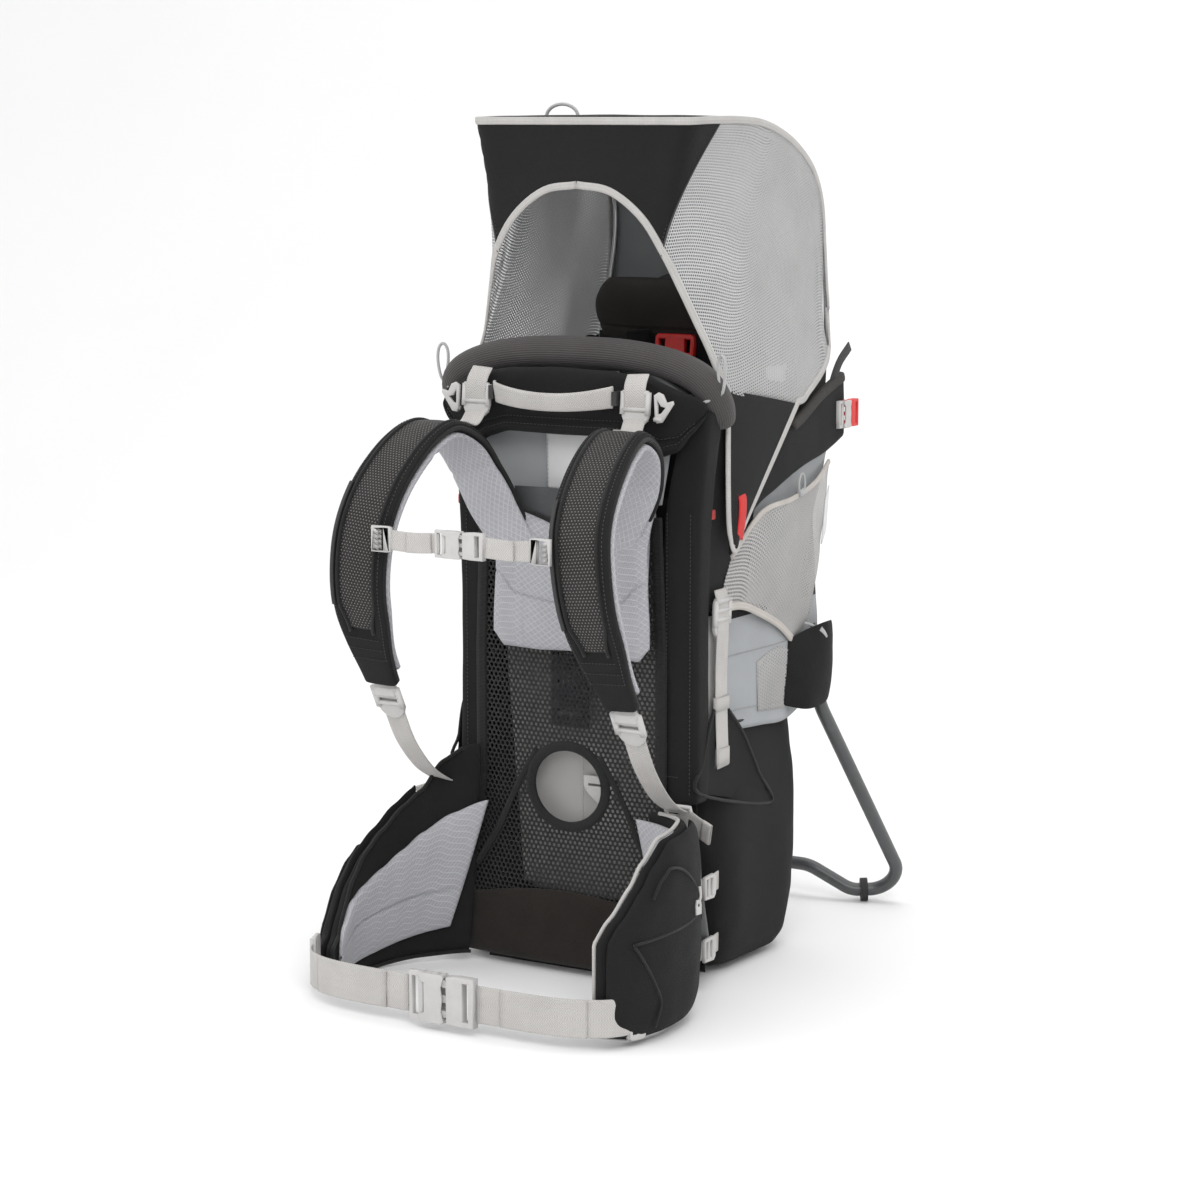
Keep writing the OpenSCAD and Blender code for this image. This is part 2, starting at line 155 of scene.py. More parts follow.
class Form:
    """Mesh data in millimetres, gathered part by part before it becomes one piece."""

    def __init__(self):
        self.points, self.faces, self.corners, self.kinds = [], [], [], []

    def loft(self, rings, closed=True, caps=True, kind=0, middle=None):
        """Skin over rings of equal length. kind is a material number, or a function of (ring, point).
        Cloth directions are measured from ring point number middle, or else from half way round."""
        base, count = len(self.points), len(rings[0])
        spans = count if closed else count - 1
        run = [0.0]
        for a, b in zip(rings, rings[1:]):
            run.append(run[-1] + sum((q - p).length for p, q in zip(a, b)) / count)
        around = []
        for ring in rings:
            self.points.extend(ring)
            steps = [0.0]
            for k in range(spans):
                steps.append(steps[-1] + (ring[(k + 1) % count] - ring[k]).length)
            zero = steps[-1] / 2 if middle is None else steps[middle]
            around.append([s - zero for s in steps])
        for i in range(len(rings) - 1):
            for k in range(spans):
                low, high = base + i * count, base + (i + 1) * count
                k2 = (k + 1) % count
                self.faces.append((low + k, low + k2, high + k2, high + k))
                self.corners += [(around[i][k], run[i]), (around[i][k + 1], run[i]),
                                 (around[i + 1][k + 1], run[i + 1]), (around[i + 1][k], run[i + 1])]
                self.kinds.append(kind(i, k) if callable(kind) else kind)
        if closed and caps:
            for i in (0, len(rings) - 1):
                self.faces.append(tuple(base + i * count + k for k in range(count)))
                self.corners += [(around[i][k], run[i]) for k in range(count)]
                self.kinds.append(kind(min(i, len(rings) - 2), 0) if callable(kind) else kind)
        return self

    def sheet(self, rows, kind=0):
        return self.loft(rows, closed=False, kind=kind)

    def sweep(self, frames, section, kind=0, caps=True):
        """Section swept along frames: a list of (across, normal), or a function of the share run."""
        rings = []
        for i, (p, a, n) in enumerate(frames):
            shape = section(i / (len(frames) - 1)) if callable(section) else section
            rings.append([p + a * x + n * y for x, y in shape])
        return self.loft(rings, caps=caps, kind=kind)

    def band(self, line, across, half_width, half_thick=1.0, power=5, count=12, kind=0):
        """Flat band along a line."""
        return self.sweep(cross_frames(line, across), oval(half_width, half_thick, power, count), kind)

    def cord(self, line, radius, kind=0, count=10):
        return self.sweep(carried_frames(line), oval(radius, radius, 2, count), kind)

    def hoop(self, line, radius, kind=0, count=8):
        """Cord round a closed line whose last point joins its first."""
        closed = list(line) + [line[0], line[1]]
        frames = carried_frames(closed)[1:]
        rings = [[p + a * x + n * y for x, y in oval(radius, radius, 2, count)] for p, a, n in frames]
        rings[-1] = rings[0]
        return self.loft(rings, caps=False, kind=kind)

    def pad(self, place, nu, nv, front, back, kind=0):
        """Closed pillow: place(u, v) is its middle surface; front and back are thicknesses of (u, v)."""
        rings = []
        for i in range(nu + 1):
            u = i / nu
            top, low = [], []
            for k in range(nv + 1):
                v = k / nv
                p, n = place_normal(place, u, v)
                top.append(p + n * front(u, v))
                low.append(p - n * back(u, v))
            rings.append(top + low[::-1])
        return self.loft(rings, kind=kind, middle=nv // 2)

    def plate(self, outlines, thick, edge, place, kind=0):
        """Flat plate with holes and rounded edges, from closed 2-D outlines, set in place by a matrix."""
        curve = bpy.data.curves.new("outline", "CURVE")
        curve.dimensions, curve.fill_mode = "2D", "BOTH"
        curve.extrude, curve.bevel_depth = thick / 2 - edge, edge
        curve.bevel_resolution, curve.offset = 2, -edge
        for outline in outlines:
            line = curve.splines.new("POLY")
            line.points.add(len(outline) - 1)
            line.use_cyclic_u = True
            for point, (x, y) in zip(line.points, outline):
                point.co = (x, y, 0, 1)
        holder = bpy.data.objects.new("outline", curve)
        mesh = bpy.data.meshes.new_from_object(holder)
        base = len(self.points)
        self.points += [place @ v.co for v in mesh.vertices]
        for polygon in mesh.polygons:
            self.faces.append(tuple(base + i for i in polygon.vertices))
            self.corners += [tuple(mesh.vertices[i].co.xy) for i in polygon.vertices]
            self.kinds.append(kind)
        bpy.data.objects.remove(holder)
        bpy.data.meshes.remove(mesh)
        bpy.data.curves.remove(curve)
        return self

    def stitches(self, line, out, kind=0, length=2.6, gap=1.6, radius=0.4):
        """Row of thread stitches along a line; out is the direction away from the cloth."""
        total = sum((b - a).length for a, b in zip(line, line[1:]))
        count = max(1, round(total / (length + gap)))
        ends = even(line, count * 2)
        outs = out if isinstance(out, list) else [out] * len(line)
        for i in range(count):
            a, b = ends[2 * i], ends[2 * i + 1]
            lift = outs[min(len(outs) - 1, round(len(outs) * i / count))] * radius
            bed = [a - lift * 0.6, mix(a, b, 0.25) + lift, mix(a, b, 0.75) + lift, b - lift * 0.6]
            self.sweep(carried_frames(bed), oval(radius, radius, 2, 5), kind)
        return self

    def piece(self, name, body, slot, materials, replaces=(), thick=0, levels=0):
        """Makes the piece. body is a name, or (a, b, start, end) for cloth between two bodies; the values
        in such a tuple are not used, and the piece is left without a body.
        """
        mesh = bpy.data.meshes.new(name)
        mesh.from_pydata([p * MM for p in self.points], [], self.faces)
        layer = mesh.uv_layers.new(name="weave")
        layer.data.foreach_set("uv", [c * MM for corner in self.corners for c in corner])
        mesh.polygons.foreach_set("material_index", self.kinds)
        mesh.polygons.foreach_set("use_smooth", [True] * len(self.faces))
        work = bmesh.new()
        work.from_mesh(mesh)
        bmesh.ops.remove_doubles(work, verts=work.verts, dist=1e-6)
        bmesh.ops.recalc_face_normals(work, faces=work.faces)
        work.to_mesh(mesh)
        work.free()
        for material in materials if isinstance(materials, (list, tuple)) else [materials]:
            mesh.materials.append(material)
        made = bpy.data.objects.new(name, mesh)
        SCENE.collection.objects.link(made)
        if thick:
            solid = made.modifiers.new("thickness", "SOLIDIFY")
            solid.thickness, solid.offset = thick * MM, 0
        if levels:
            round_off = made.modifiers.new("round", "SUBSURF")
            round_off.levels = round_off.render_levels = levels
        if replaces:
            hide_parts(*replaces)
        if isinstance(body, str):
            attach(made, body)
        else:
            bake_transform(made)
        return made


def add_bevel(made, width):
    edge = made.modifiers.new("edges", "BEVEL")
    edge.width, edge.segments, edge.limit_method = width * MM, 3, "ANGLE"
    edge.angle_limit = math.radians(35)
    edge.harden_normals = False


def place_normal(place, u, v):
    """Point of a surface and its normal there."""
    e = 0.004
    p = place(u, v)
    du = place(min(1, u + e), v) - place(max(0, u - e), v)
    dv = place(u, min(1, v + e)) - place(u, max(0, v - e))
    n = du.cross(dv)
    return p, (n.normalized() if n.length > 1e-9 else Z_AXIS.copy())


def ruled(curve_a, curve_b):
    """Surface between two curves given as control points: u runs along them, v from a to b."""
    la, lb = len(curve_a) - 1, len(curve_b) - 1
    return lambda u, v: mix(curve_at(curve_a, u * la), curve_at(curve_b, u * lb), v)


def through(curves):
    """Surface through several curves given as control points: u runs along them, v across them."""
    last = len(curves) - 1
    return lambda u, v: curve_at([curve_at(c, u * (len(c) - 1)) for c in curves], v * last)


def mirrored(points, side):
    return [(x * side, y, z) for x, y, z in points]


def both_sides(points, *middle):
    """Control points from the -X side, by way of the middle, to the +X side."""
    return mirrored(points, -1) + list(middle) + points[::-1]


def mirrored_curve(points, side, steps=6):
    return smooth(mirrored(points, side), steps)


def rect(x0, x1, y0, y1):
    return [(x0, y0), (x1, y0), (x1, y1), (x0, y1)]


def once(side, node):
    """The CAD node that a mirrored pair replaces, named by its +X piece only."""
    return [node] if side > 0 else ()


def crown(u, v, thick, power=5.0, rim=0.12):
    """Pillow thickness: full in the middle, thin at all four edges."""
    e = (1 - abs(2 * u - 1) ** power) * (1 - abs(2 * v - 1) ** power)
    return thick * (rim + (1 - rim) * math.sqrt(max(0.0, e)))


def rows_of(place, nu, nv, lift=None):
    """Grid of a surface's points, each moved along its normal by lift(u, v, point)."""
    rows = []
    for i in range(nu + 1):
        row = []
        for k in range(nv + 1):
            p, n = place_normal(place, i / nu, k / nv)
            row.append(p + n * lift(i / nu, k / nv, p) if lift else p)
        rows.append(row)
    return rows


# ------------------------------------------------------------------ materials

class Shader:
    """Node tree of one material, built with short calls."""

    def __init__(self, name):
        self.material = bpy.data.materials.new(name)
        self.material.use_nodes = True
        self.tree = self.material.node_tree
        self.tree.nodes.clear()

    def node(self, kind, inputs=None, **settings):
        made = self.tree.nodes.new(kind)
        for key, value in settings.items():
            setattr(made, key, value)
        for key, value in (inputs or {}).items():
            self.feed(made.inputs[key], value)
        return made

    def feed(self, socket, value):
        if isinstance(value, bpy.types.NodeSocket):
            self.tree.links.new(value, socket)
        else:
            socket.default_value = value

    def math(self, operation, a, b=0.0, c=0.0):
        made = self.node("ShaderNodeMath", operation=operation)
        for i, value in enumerate((a, b, c)):
            self.feed(made.inputs[i], value)
        return made.outputs[0]

    def add(self, a, b):
        return self.math("ADD", a, b)

    def times(self, a, b):
        return self.math("MULTIPLY", a, b)

    def wave(self, x, period):
        """Sine of x with that period, from -1 to 1."""
        return self.math("SINE", self.times(x, 2 * math.pi / period))

    def blend(self, a, b, share):
        return self.add(self.times(a, self.math("SUBTRACT", 1.0, share)), self.times(b, share))

    def step(self, x, low, high):
        made = self.node("ShaderNodeMapRange", {"Value": x, "From Min": low, "From Max": high},
                         interpolation_type="SMOOTHSTEP")
        return made.outputs[0]

    def colour(self, share, dark, light):
        made = self.node("ShaderNodeMix", data_type="RGBA")
        self.feed(made.inputs[0], share)
        self.feed(made.inputs[6], (*dark, 1))
        self.feed(made.inputs[7], (*light, 1))
        return made.outputs[2]

    def split(self, vector):
        made = self.node("ShaderNodeSeparateXYZ", {0: vector})
        return made.outputs[0], made.outputs[1], made.outputs[2]

    def weave_map(self):
        """The piece's own cloth directions, in metres."""
        made = self.node("ShaderNodeUVMap", uv_map="weave")
        return self.split(made.outputs[0])[:2]

    def box_map(self):
        """Metres over whichever plane the surface faces most, for pieces with no cloth directions."""
        where = self.node("ShaderNodeTexCoord")
        x, y, z = self.split(where.outputs["Object"])
        nx, ny, nz = (self.math("ABSOLUTE", n) for n in self.split(where.outputs["Normal"]))
        is_x = self.times(self.math("GREATER_THAN", nx, ny), self.math("GREATER_THAN", nx, nz))
        is_z = self.times(self.math("GREATER_THAN", nz, nx), self.math("GREATER_THAN", nz, ny))
        return self.blend(x, y, is_x), self.blend(z, y, is_z)

    def noise(self, size, detail=3.0, rough=0.5):
        """Noise from 0 to 1 over the piece, with features of that size in metres."""
        where = self.node("ShaderNodeTexCoord").outputs["Object"]
        made = self.node("ShaderNodeTexNoise", {"Vector": where, "Scale": 1 / size, "Detail": detail,
                                                "Roughness": rough})
        return made.outputs[0]

    def surface(self, colour, rough, height=None, depth=0.0003, sheen=0.0, alpha=1.0, metal=0.0,
                specular=0.5, coat=0.0):
        """Joins everything into one surface; height from 0 to 1 stands for a relief of depth metres."""
        shade = self.node("ShaderNodeBsdfPrincipled", {
            "Base Color": colour, "Roughness": rough, "Metallic": metal, "Alpha": alpha,
            "Specular IOR Level": specular, "Sheen Weight": sheen, "Sheen Roughness": 0.45,
            "Coat Weight": coat, "Coat Roughness": 0.25})
        if height is not None:
            relief = self.node("ShaderNodeBump", {"Height": height, "Distance": depth, "Strength": 1.0})
            self.feed(shade.inputs["Normal"], relief.outputs[0])
        end = self.node("ShaderNodeOutputMaterial")
        self.tree.links.new(shade.outputs[0], end.inputs[0])
        return self.material


def grey(value, warm=0.0):
    return (value * (1 + warm), value, value * (1 - warm))


def woven(name, tone, pitch, depth=0.0003, warm=0.0, light=2.1, sheen=0.03, rough=0.82):
    """Plain weave of thick threads, as on pack cloth."""
    s = Shader(name)
    u, v = s.box_map()
    a, b = s.wave(u, 2 * pitch), s.wave(v, 2 * pitch)
    over = s.math("GREATER_THAN", s.times(a, b), 0.0)
    thread = s.math("POWER", s.blend(s.math("ABSOLUTE", a), s.math("ABSOLUTE", b), over), 0.6)
    worn = s.noise(0.05, 4)
    fibre = s.noise(0.0012, 2)
    share = s.times(s.add(s.times(thread, 0.6), s.times(fibre, 0.5)), s.add(0.55, s.times(worn, 0.7)))
    colour = s.colour(share, grey(tone * 0.45, warm), grey(tone * light, warm))
    height = s.add(thread, s.times(fibre, 0.25))
    return s.surface(colour, s.add(rough - 0.1, s.times(worn, 0.2)), height, depth, sheen, specular=0.2)


def lined(name, tone, warm=-0.03):
    """Light lining cloth with fine twill lines and soft unevenness."""
    s = Shader(name)
    u, v = s.box_map()
    twill = s.wave(s.add(u, v), 0.0014)
    soft = s.noise(0.03, 3)
    fibre = s.noise(0.0009, 2)
    share = s.add(s.times(twill, 0.12), s.add(s.times(soft, 0.6), s.times(fibre, 0.3)))
    colour = s.colour(share, grey(tone * 0.8, warm), grey(tone * 1.1, warm))
    return s.surface(colour, 0.8, s.add(s.times(twill, 0.3), fibre), 0.00015, 0.1, specular=0.3)


def diamond_ripstop(name, tone):
    """Quilted lining with a raised net of diamonds over fine threads."""
    s = Shader(name)
    u, v = s.weave_map()
    wide, tall = 0.0066, 0.0088
    one = s.math("FRACT", s.add(s.times(u, 1 / wide), s.times(v, 1 / tall)))
    two = s.math("FRACT", s.math("SUBTRACT", s.times(u, 1 / wide), s.times(v, 1 / tall)))
    near_one = s.math("ABSOLUTE", s.math("SUBTRACT", one, 0.5))
    near_two = s.math("ABSOLUTE", s.math("SUBTRACT", two, 0.5))
    ridge = s.step(s.math("MAXIMUM", near_one, near_two), 0.34, 0.46)
    fine = s.times(s.wave(u, 0.0011), s.wave(v, 0.0011))
    soft = s.noise(0.04, 3)
    share = s.add(s.times(ridge, 0.55), s.add(s.times(fine, 0.1), s.times(soft, 0.4)))
    dark, light = (tone * 0.66, tone * 0.66, tone * 0.72), (tone * 1.12, tone * 1.12, tone * 1.16)
    colour = s.colour(share, dark, light)
    height = s.add(ridge, s.times(fine, 0.12))
    return s.surface(colour, 0.7, height, 0.0005, 0.15, specular=0.35)


def hole_distance(s, u, v, pitch):
    """Distance in metres to the nearest point of a six-way lattice with that pitch."""
    x, y = s.times(u, 1 / pitch), s.times(v, 1 / (pitch * math.sqrt(3)))
    squares = []
    for shift in (0.0, 0.5):
        dx = s.math("SUBTRACT", s.math("FRACT", s.add(x, shift)), 0.5)
        dy = s.math("SUBTRACT", s.math("FRACT", s.add(y, shift)), 0.5)
        squares.append(s.add(s.times(dx, dx), s.times(s.times(dy, dy), 3.0)))
    return s.times(s.math("SQRT", s.math("MINIMUM", squares[0], squares[1])), pitch)


def netting(name, dark, light, pitch, hole, depth=0.0005, clear=1.0):
    """Knitted mesh with a six-way pattern of open holes."""
    s = Shader(name)
    u, v = s.weave_map()
    away = hole_distance(s, u, v, pitch)
    cloth = s.step(away, hole * 0.82, hole * 1.18)
    rib = s.wave(s.add(u, v), pitch / 4)
    soft = s.noise(0.04, 3)
    share = s.add(s.times(rib, 0.15), s.add(0.15, s.times(soft, 0.6)))
    alpha = s.math("SUBTRACT", 1.0, s.times(s.math("SUBTRACT", 1.0, cloth), clear))
    height = s.math("MINIMUM", s.times(away, 1.6 / pitch), 1.0)
    return s.surface(s.colour(share, dark, light), 0.7, height, depth, 0.1, alpha, specular=0.3)


def spacer_knit(name):
    """Dense brown-black air mesh; its small cells are light, with a brownish tone and painted glints."""
    s = Shader(name)
    u, v = s.weave_map()
    away = hole_distance(s, u, v, 0.0036)
    # Cells round the hole centres are lightened towards a warm grey: the holes' brownish tone plus painted
    # glints.
    cell = s.math("SUBTRACT", 1.0, s.step(away, 0.0005, 0.0009))
    thread = s.step(away, 0.0008, 0.0016)
    soft = s.noise(0.02, 3)
    share = s.add(s.times(cell, 0.9), s.times(s.times(thread, soft), 0.12))
    colour = s.colour(share, (0.008, 0.0065, 0.006), grey(0.17, 0.03))
    return s.surface(colour, 0.6, thread, 0.0008, 0.02, specular=0.3)


def webbing(name, dark, light, period=0.0026, chevron=0.0042):
    """Woven strap with a herringbone that turns every few millimetres."""
    s = Shader(name)
    u, v = s.weave_map()
    zigzag = s.math("PINGPONG", u, chevron)
    rib = s.wave(s.add(v, zigzag), period)
    ridge = s.add(0.5, s.times(rib, 0.5))
    cross = s.wave(u, 0.0009)
    soft = s.noise(0.03, 3)
    share = s.add(s.times(ridge, 0.5), s.add(s.times(soft, 0.45), s.times(cross, 0.06)))
    return s.surface(s.colour(share, dark, light), 0.72, s.add(ridge, s.times(cross, 0.15)), 0.0004, 0.1,
                     specular=0.35)


def taped(name, tone, warm=0.03):
    """Ribbed edge binding."""
    s = Shader(name)
    u, v = s.weave_map()
    rib = s.wave(v, 0.0015)
    edge = s.wave(u, 0.004)
    soft = s.noise(0.02, 3)
    share = s.add(s.times(rib, 0.22), s.add(s.times(edge, 0.12), s.times(soft, 0.7)))
    colour = s.colour(share, grey(tone * 0.78, warm), grey(tone * 1.12, warm))
    return s.surface(colour, 0.75, s.add(rib, s.times(edge, 0.4)), 0.0002, 0.1, specular=0.3)


def moulded(name, dark, light, rough=0.42, grain=0.0007, depth=0.00006):
    """Moulded plastic with a fine grain, faint flow marks and rubbed patches."""
    s = Shader(name)
    fine = s.noise(grain, 2)
    flow = s.noise(0.012, 4, 0.6)
    rubbed = s.step(s.noise(0.006, 5, 0.7), 0.55, 0.75)
    share = s.add(s.times(flow, 0.75), s.times(fine, 0.25))
    shine = s.math("SUBTRACT", s.add(rough, s.times(fine, 0.12)), s.times(rubbed, 0.12))
    return s.surface(s.colour(share, dark, light), shine, fine, depth, specular=0.45)


def coated(name, tone, rough=0.42):
    """Powder-coated tube: speckled relief, duller scuffs."""
    s = Shader(name)
    speck = s.noise(0.0011, 2, 0.6)
    scuff = s.step(s.noise(0.02, 5, 0.7), 0.55, 0.72)
    colour = s.colour(s.add(s.times(speck, 0.6), s.times(scuff, 0.35)), grey(tone * 0.7, -0.04),
                      grey(tone * 1.5, -0.04))
    return s.surface(colour, s.add(rough, s.times(scuff, 0.15)), speck, 0.00012, specular=0.55, coat=0.15)


def foam_rubber(name):
    """Closed-cell foam with fine ribs along the grip."""
    s = Shader(name)
    u, v = s.weave_map()
    rib = s.wave(u, 0.0024)
    cell = s.noise(0.0009, 3, 0.7)
    soft = s.noise(0.05, 3)
    ridge = s.add(0.5, s.times(rib, 0.5))
    share = s.add(s.times(ridge, 0.4), s.add(s.times(cell, 0.35), s.times(soft, 0.3)))
    colour = s.colour(share, (0.030, 0.027, 0.027), (0.100, 0.092, 0.092))
    return s.surface(colour, 0.85, s.add(rib, cell), 0.00022, 0.1, specular=0.2)


def rubber(name):
    s = Shader(name)
    cell = s.noise(0.0015, 3)
    dust = s.step(s.noise(0.012, 5, 0.7), 0.5, 0.8)
    colour = s.colour(s.add(s.times(cell, 0.3), s.times(dust, 0.5)), grey(0.012), grey(0.05, 0.05))
    return s.surface(colour, s.add(0.6, s.times(dust, 0.25)), cell, 0.0001, specular=0.35)


def steel(name):
    s = Shader(name)
    fine = s.noise(0.0006, 2)
    flow = s.noise(0.01, 4)
    colour = s.colour(s.add(s.times(fine, 0.4), s.times(flow, 0.6)), grey(0.42), grey(0.66))
    return s.surface(colour, s.add(0.22, s.times(flow, 0.2)), fine, 0.00003, metal=1.0)


def brushed_knit(name):
    """Napped knit of the lumbar band."""
    s = Shader(name)
    nap = s.noise(0.0016, 4, 0.7)
    soft = s.noise(0.04, 3)
    colour = s.colour(s.add(s.times(nap, 0.7), s.times(soft, 0.4)), (0.006, 0.005, 0.0045),
                      (0.030, 0.025, 0.022))
    return s.surface(colour, 0.9, nap, 0.0005, 0.12, specular=0.15)


def twisted(name, dark, light):
    """Round cord or sewing thread with twisted strands."""
    s = Shader(name)
    u, v = s.weave_map()
    strand = s.wave(s.add(v, s.times(u, 1.2)), 0.0022)
    soft = s.noise(0.01, 3)
    share = s.add(s.times(s.add(0.5, s.times(strand, 0.5)), 0.5), s.times(soft, 0.5))
    return s.surface(s.colour(share, dark, light), 0.7, strand, 0.0003, 0.1, specular=0.3)


BLACK = woven("pack_cloth", 0.0075, 0.0011, 0.0004)
BLACK_FINE = woven("fine_cloth", 0.0065, 0.0006, 0.0002, light=1.8)
BLACK_SOFT = woven("plush_cloth", 0.0055, 0.0009, 0.0003, light=1.6, sheen=0.08, rough=0.95)
BROWN = woven("trim_cloth", 0.030, 0.0007, 0.0002, warm=0.08)
LINING = lined("grey_lining", 0.36, -0.035)
WARM_LINING = lined("warm_lining", 0.42, 0.02)
LABEL = lined("blank_label", 0.70, 0.0)
QUILT = diamond_ripstop("diamond_ripstop", 0.47)
BACK_NET = netting("back_net", grey(0.005), grey(0.022), 0.0056, 0.0019, 0.0009)
SHADE_NET = netting("shade_net", grey(0.40), grey(0.58), 0.0034, 0.00105)
POCKET_NET = netting("pocket_net", grey(0.38, 0.02), grey(0.56, 0.02), 0.0040, 0.00135)
SPACER = spacer_knit("air_mesh")
PALE_WEB = webbing("pale_webbing", grey(0.34, 0.035), grey(0.60, 0.035))
BLACK_WEB = webbing("black_webbing", grey(0.010), grey(0.04))
RED_WEB = webbing("red_webbing", (0.42, 0.012, 0.012), (0.78, 0.035, 0.03))
BINDING = taped("pale_binding", 0.50)
CREAM = taped("cream_binding", 0.52, 0.07)
DARK_BINDING = taped("black_binding", 0.011, 0.0)
PALE_PLASTIC = moulded("pale_plastic", grey(0.40, 0.02), grey(0.54, 0.02))
BLACK_PLASTIC = moulded("black_plastic", grey(0.012), grey(0.035), 0.5)
RED_PLASTIC = moulded("red_plastic", (0.50, 0.015, 0.015), (0.72, 0.03, 0.025), 0.35)
TUBE = coated("frame_coat", 0.055)
STAND_COAT = coated("stand_coat", 0.062, 0.38)
FOAM = foam_rubber("bar_foam")
RUBBER = rubber("black_rubber")
STEEL = steel("pin_steel")
KNIT = brushed_knit("lumbar_knit")
THREAD = twisted("black_thread", grey(0.02), grey(0.09))
PALE_THREAD = twisted("pale_thread", grey(0.30), grey(0.55))
CORD = twisted("pale_cord", grey(0.36), grey(0.60))


# ------------------------------------------------------------------ CAD nodes that stay in view

NODE_FINISH = {
    TUBE: ["frame_tube", "seat_hoop", "side_brackets", "yoke_plate", "torso_track"],
    STAND_COAT: ["stand_tube"],
    BLACK_PLASTIC: ["stand_housings", "shade_pivots", "handle_anchors"],
    RUBBER: ["base_skid", "stand_feet"],
    STEEL: ["stand_pins"],
}
NODE_BEVEL = {"stand_housings": 4, "side_brackets": 4, "base_skid": 1.5, "stand_feet": 1.2,
              "handle_anchors": 1.5, "shade_pivots": 1.2, "stand_pins": 1}


def finish_nodes():
    for material, names in NODE_FINISH.items():
        for name in names:
            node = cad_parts[name]
            node.data.materials.clear()
            node.data.materials.append(material)
            if name in NODE_BEVEL:
                add_bevel(node, NODE_BEVEL[name])


# ------------------------------------------------------------------ sunshade

ROOF_Z = 887
# Pairs of (upper edge, lower edge) of the hood, from its front middle round to its rear corner.
HOOD = [
    ((0, 5, ROOF_Z), (0, 0, 817)),
    ((45, 5, ROOF_Z), (38, 0, 811)),
    ((90, 6, ROOF_Z), (73, 1, 786)),
    ((126, 9, ROOF_Z), (97, 4, 750)),
    ((130, 50, ROOF_Z + 1), (112, 14, 714)),
    ((131, 100, ROOF_Z + 1), (130, 30, 665)),
    ((132, 152, ROOF_Z - 2), (150, 46, 615)),
    ((133, 198, ROOF_Z - 13), (152, 125, 601)),
    ((133, 237, ROOF_Z - 29), (152, 203, 588)),
    ((132, 274, ROOF_Z - 53), (152, 230, 598)),
    ((131, 297, ROOF_Z - 86), (150, 262, 614)),
    ((132, 303, ROOF_Z - 134), (146, 285, 628)),
    ((137, 301, ROOF_Z - 205), (141, 299, 642)),
]
# Numbers of the pairs at the seam, at the tail's two edges and at the rear corner.
SEAM_AT, TAIL_FRONT, TAIL_REAR, HOOD_END = 3, 6, 8, 12
# The seam between cloth and net starts this much further back at the roof than at the arch.
SEAM_REACH = 1.45
TAIL_FRONT_EDGE = [(150, 46, 615), (153, 40, 572), (156, 35, 522), (158, 34, 478), (159, 39, 458)]
TAIL_REAR_EDGE = [(152, 203, 588), (155, 168, 560), (157, 120, 518), (158, 76, 478), (159, 57, 460)]


def hood_edge(which, s):
    p = curve_at([pair[which] for pair in HOOD], abs(s))
    return flip(p) if s < 0 else p


def hood_point(s, t):
    """Point of the hood: s from -HOOD_END to HOOD_END round it, t from its upper to its lower edge."""
    n = abs(s)
    toward_seam = n / SEAM_AT if n < SEAM_AT else max(0.0, (TAIL_REAR - n) / (TAIL_REAR - SEAM_AT))
    n += SEAM_REACH * (1 - t) ** 2 * toward_seam
    s = math.copysign(n, s)
    p = mix(hood_edge(0, s), hood_edge(1, s), t)
    inward = Vector((-p.x, 130 - p.y, 0)).normalized()
    slack = mix(1.5, 6.0, min(1.0, max(0.0, (n - 3) / 4))) * math.sin(math.pi * t)
    ripple = 1.2 * wander(p, 55, 3.0) * math.sin(math.pi * t)
    return p + inward * (slack * min(1.0, n) + ripple)


def hood_panels():
    steps, rows = 5, 26
    columns = [k / steps for k in range(-HOOD_END * steps, HOOD_END * steps + 1)]
    grid = [[hood_point(s, k / rows) for k in range(rows + 1)] for s in columns]
    form = Form().sheet(grid, kind=lambda i, k: 0 if abs(columns[i] + 0.5 / steps) < SEAM_AT else 1)
    form.piece("hood_panels", "sunshade", "grey_mesh", [BLACK, SHADE_NET], ["shade_canopy"], thick=0.9)


def hood_roof():
    steps, spans = 4, 24
    rows = []
    for k in range((HOOD_END - SEAM_AT) * steps + 1):
        edge = hood_edge(0, SEAM_AT + k / steps)
        row = []
        for i in range(spans + 1):
            share = 2 * i / spans - 1
            swell = 1.5 * (1 - share ** 2)
            p = Vector((edge.x * share, edge.y, edge.z + swell))
            row.append(p + Z_AXIS * 0.8 * wander(p, 60, 5.0))
        rows.append(row)
    split = 5 * steps
    Form().sheet(rows, kind=lambda i, k: 0 if i < split else 1).piece(
        "hood_roof", "sunshade", "black_fabric", [BLACK, LINING], thick=0.9)


def hood_tail_line():
    """Edge of one tail: down its front, round the tip and up its rear, with directions into the cloth."""
    front, rear = smooth(TAIL_FRONT_EDGE), smooth(TAIL_REAR_EDGE)
    middle = (front[-1] + rear[-1]) / 2
    radius = (front[-1] - rear[-1]).length / 2
    tip = [middle + Vector((0.5, -math.cos(a) * radius, -math.sin(a) * radius * 1.1))
           for a in [math.pi * k / 8 for k in range(1, 8)]]
    line = front + tip + rear[::-1]
    into = ([(r - f).normalized() for f, r in zip(front, rear)]
            + [(middle + Z_AXIS * 15 - p).normalized() for p in tip]
            + [(f - r).normalized() for f, r in zip(front, rear)][::-1])
    return line, into


def hood_tail(name, side):
    front, rear = smooth(TAIL_FRONT_EDGE), smooth(TAIL_REAR_EDGE)
    middle = (front[-1] + rear[-1]) / 2
    rows = []
    for f, r in zip(front, rear):
        rows.append([mix(f, r, k / 16) + X_AXIS * 2.2 * math.sin(math.pi * k / 16) for k in range(17)])
    last = rows[-1]
    for a in [math.pi / 2 * k / 5 for k in range(1, 6)]:
        rows.append([middle + (p - middle) * math.cos(a) - Z_AXIS * 8 * math.sin(a) for p in last])
    rows = [[side_of(p, side) for p in row] for row in rows]
    Form().sheet(rows).piece(f"hood_tail_{name}", "sunshade", "black_fabric", BLACK, thick=1.2)


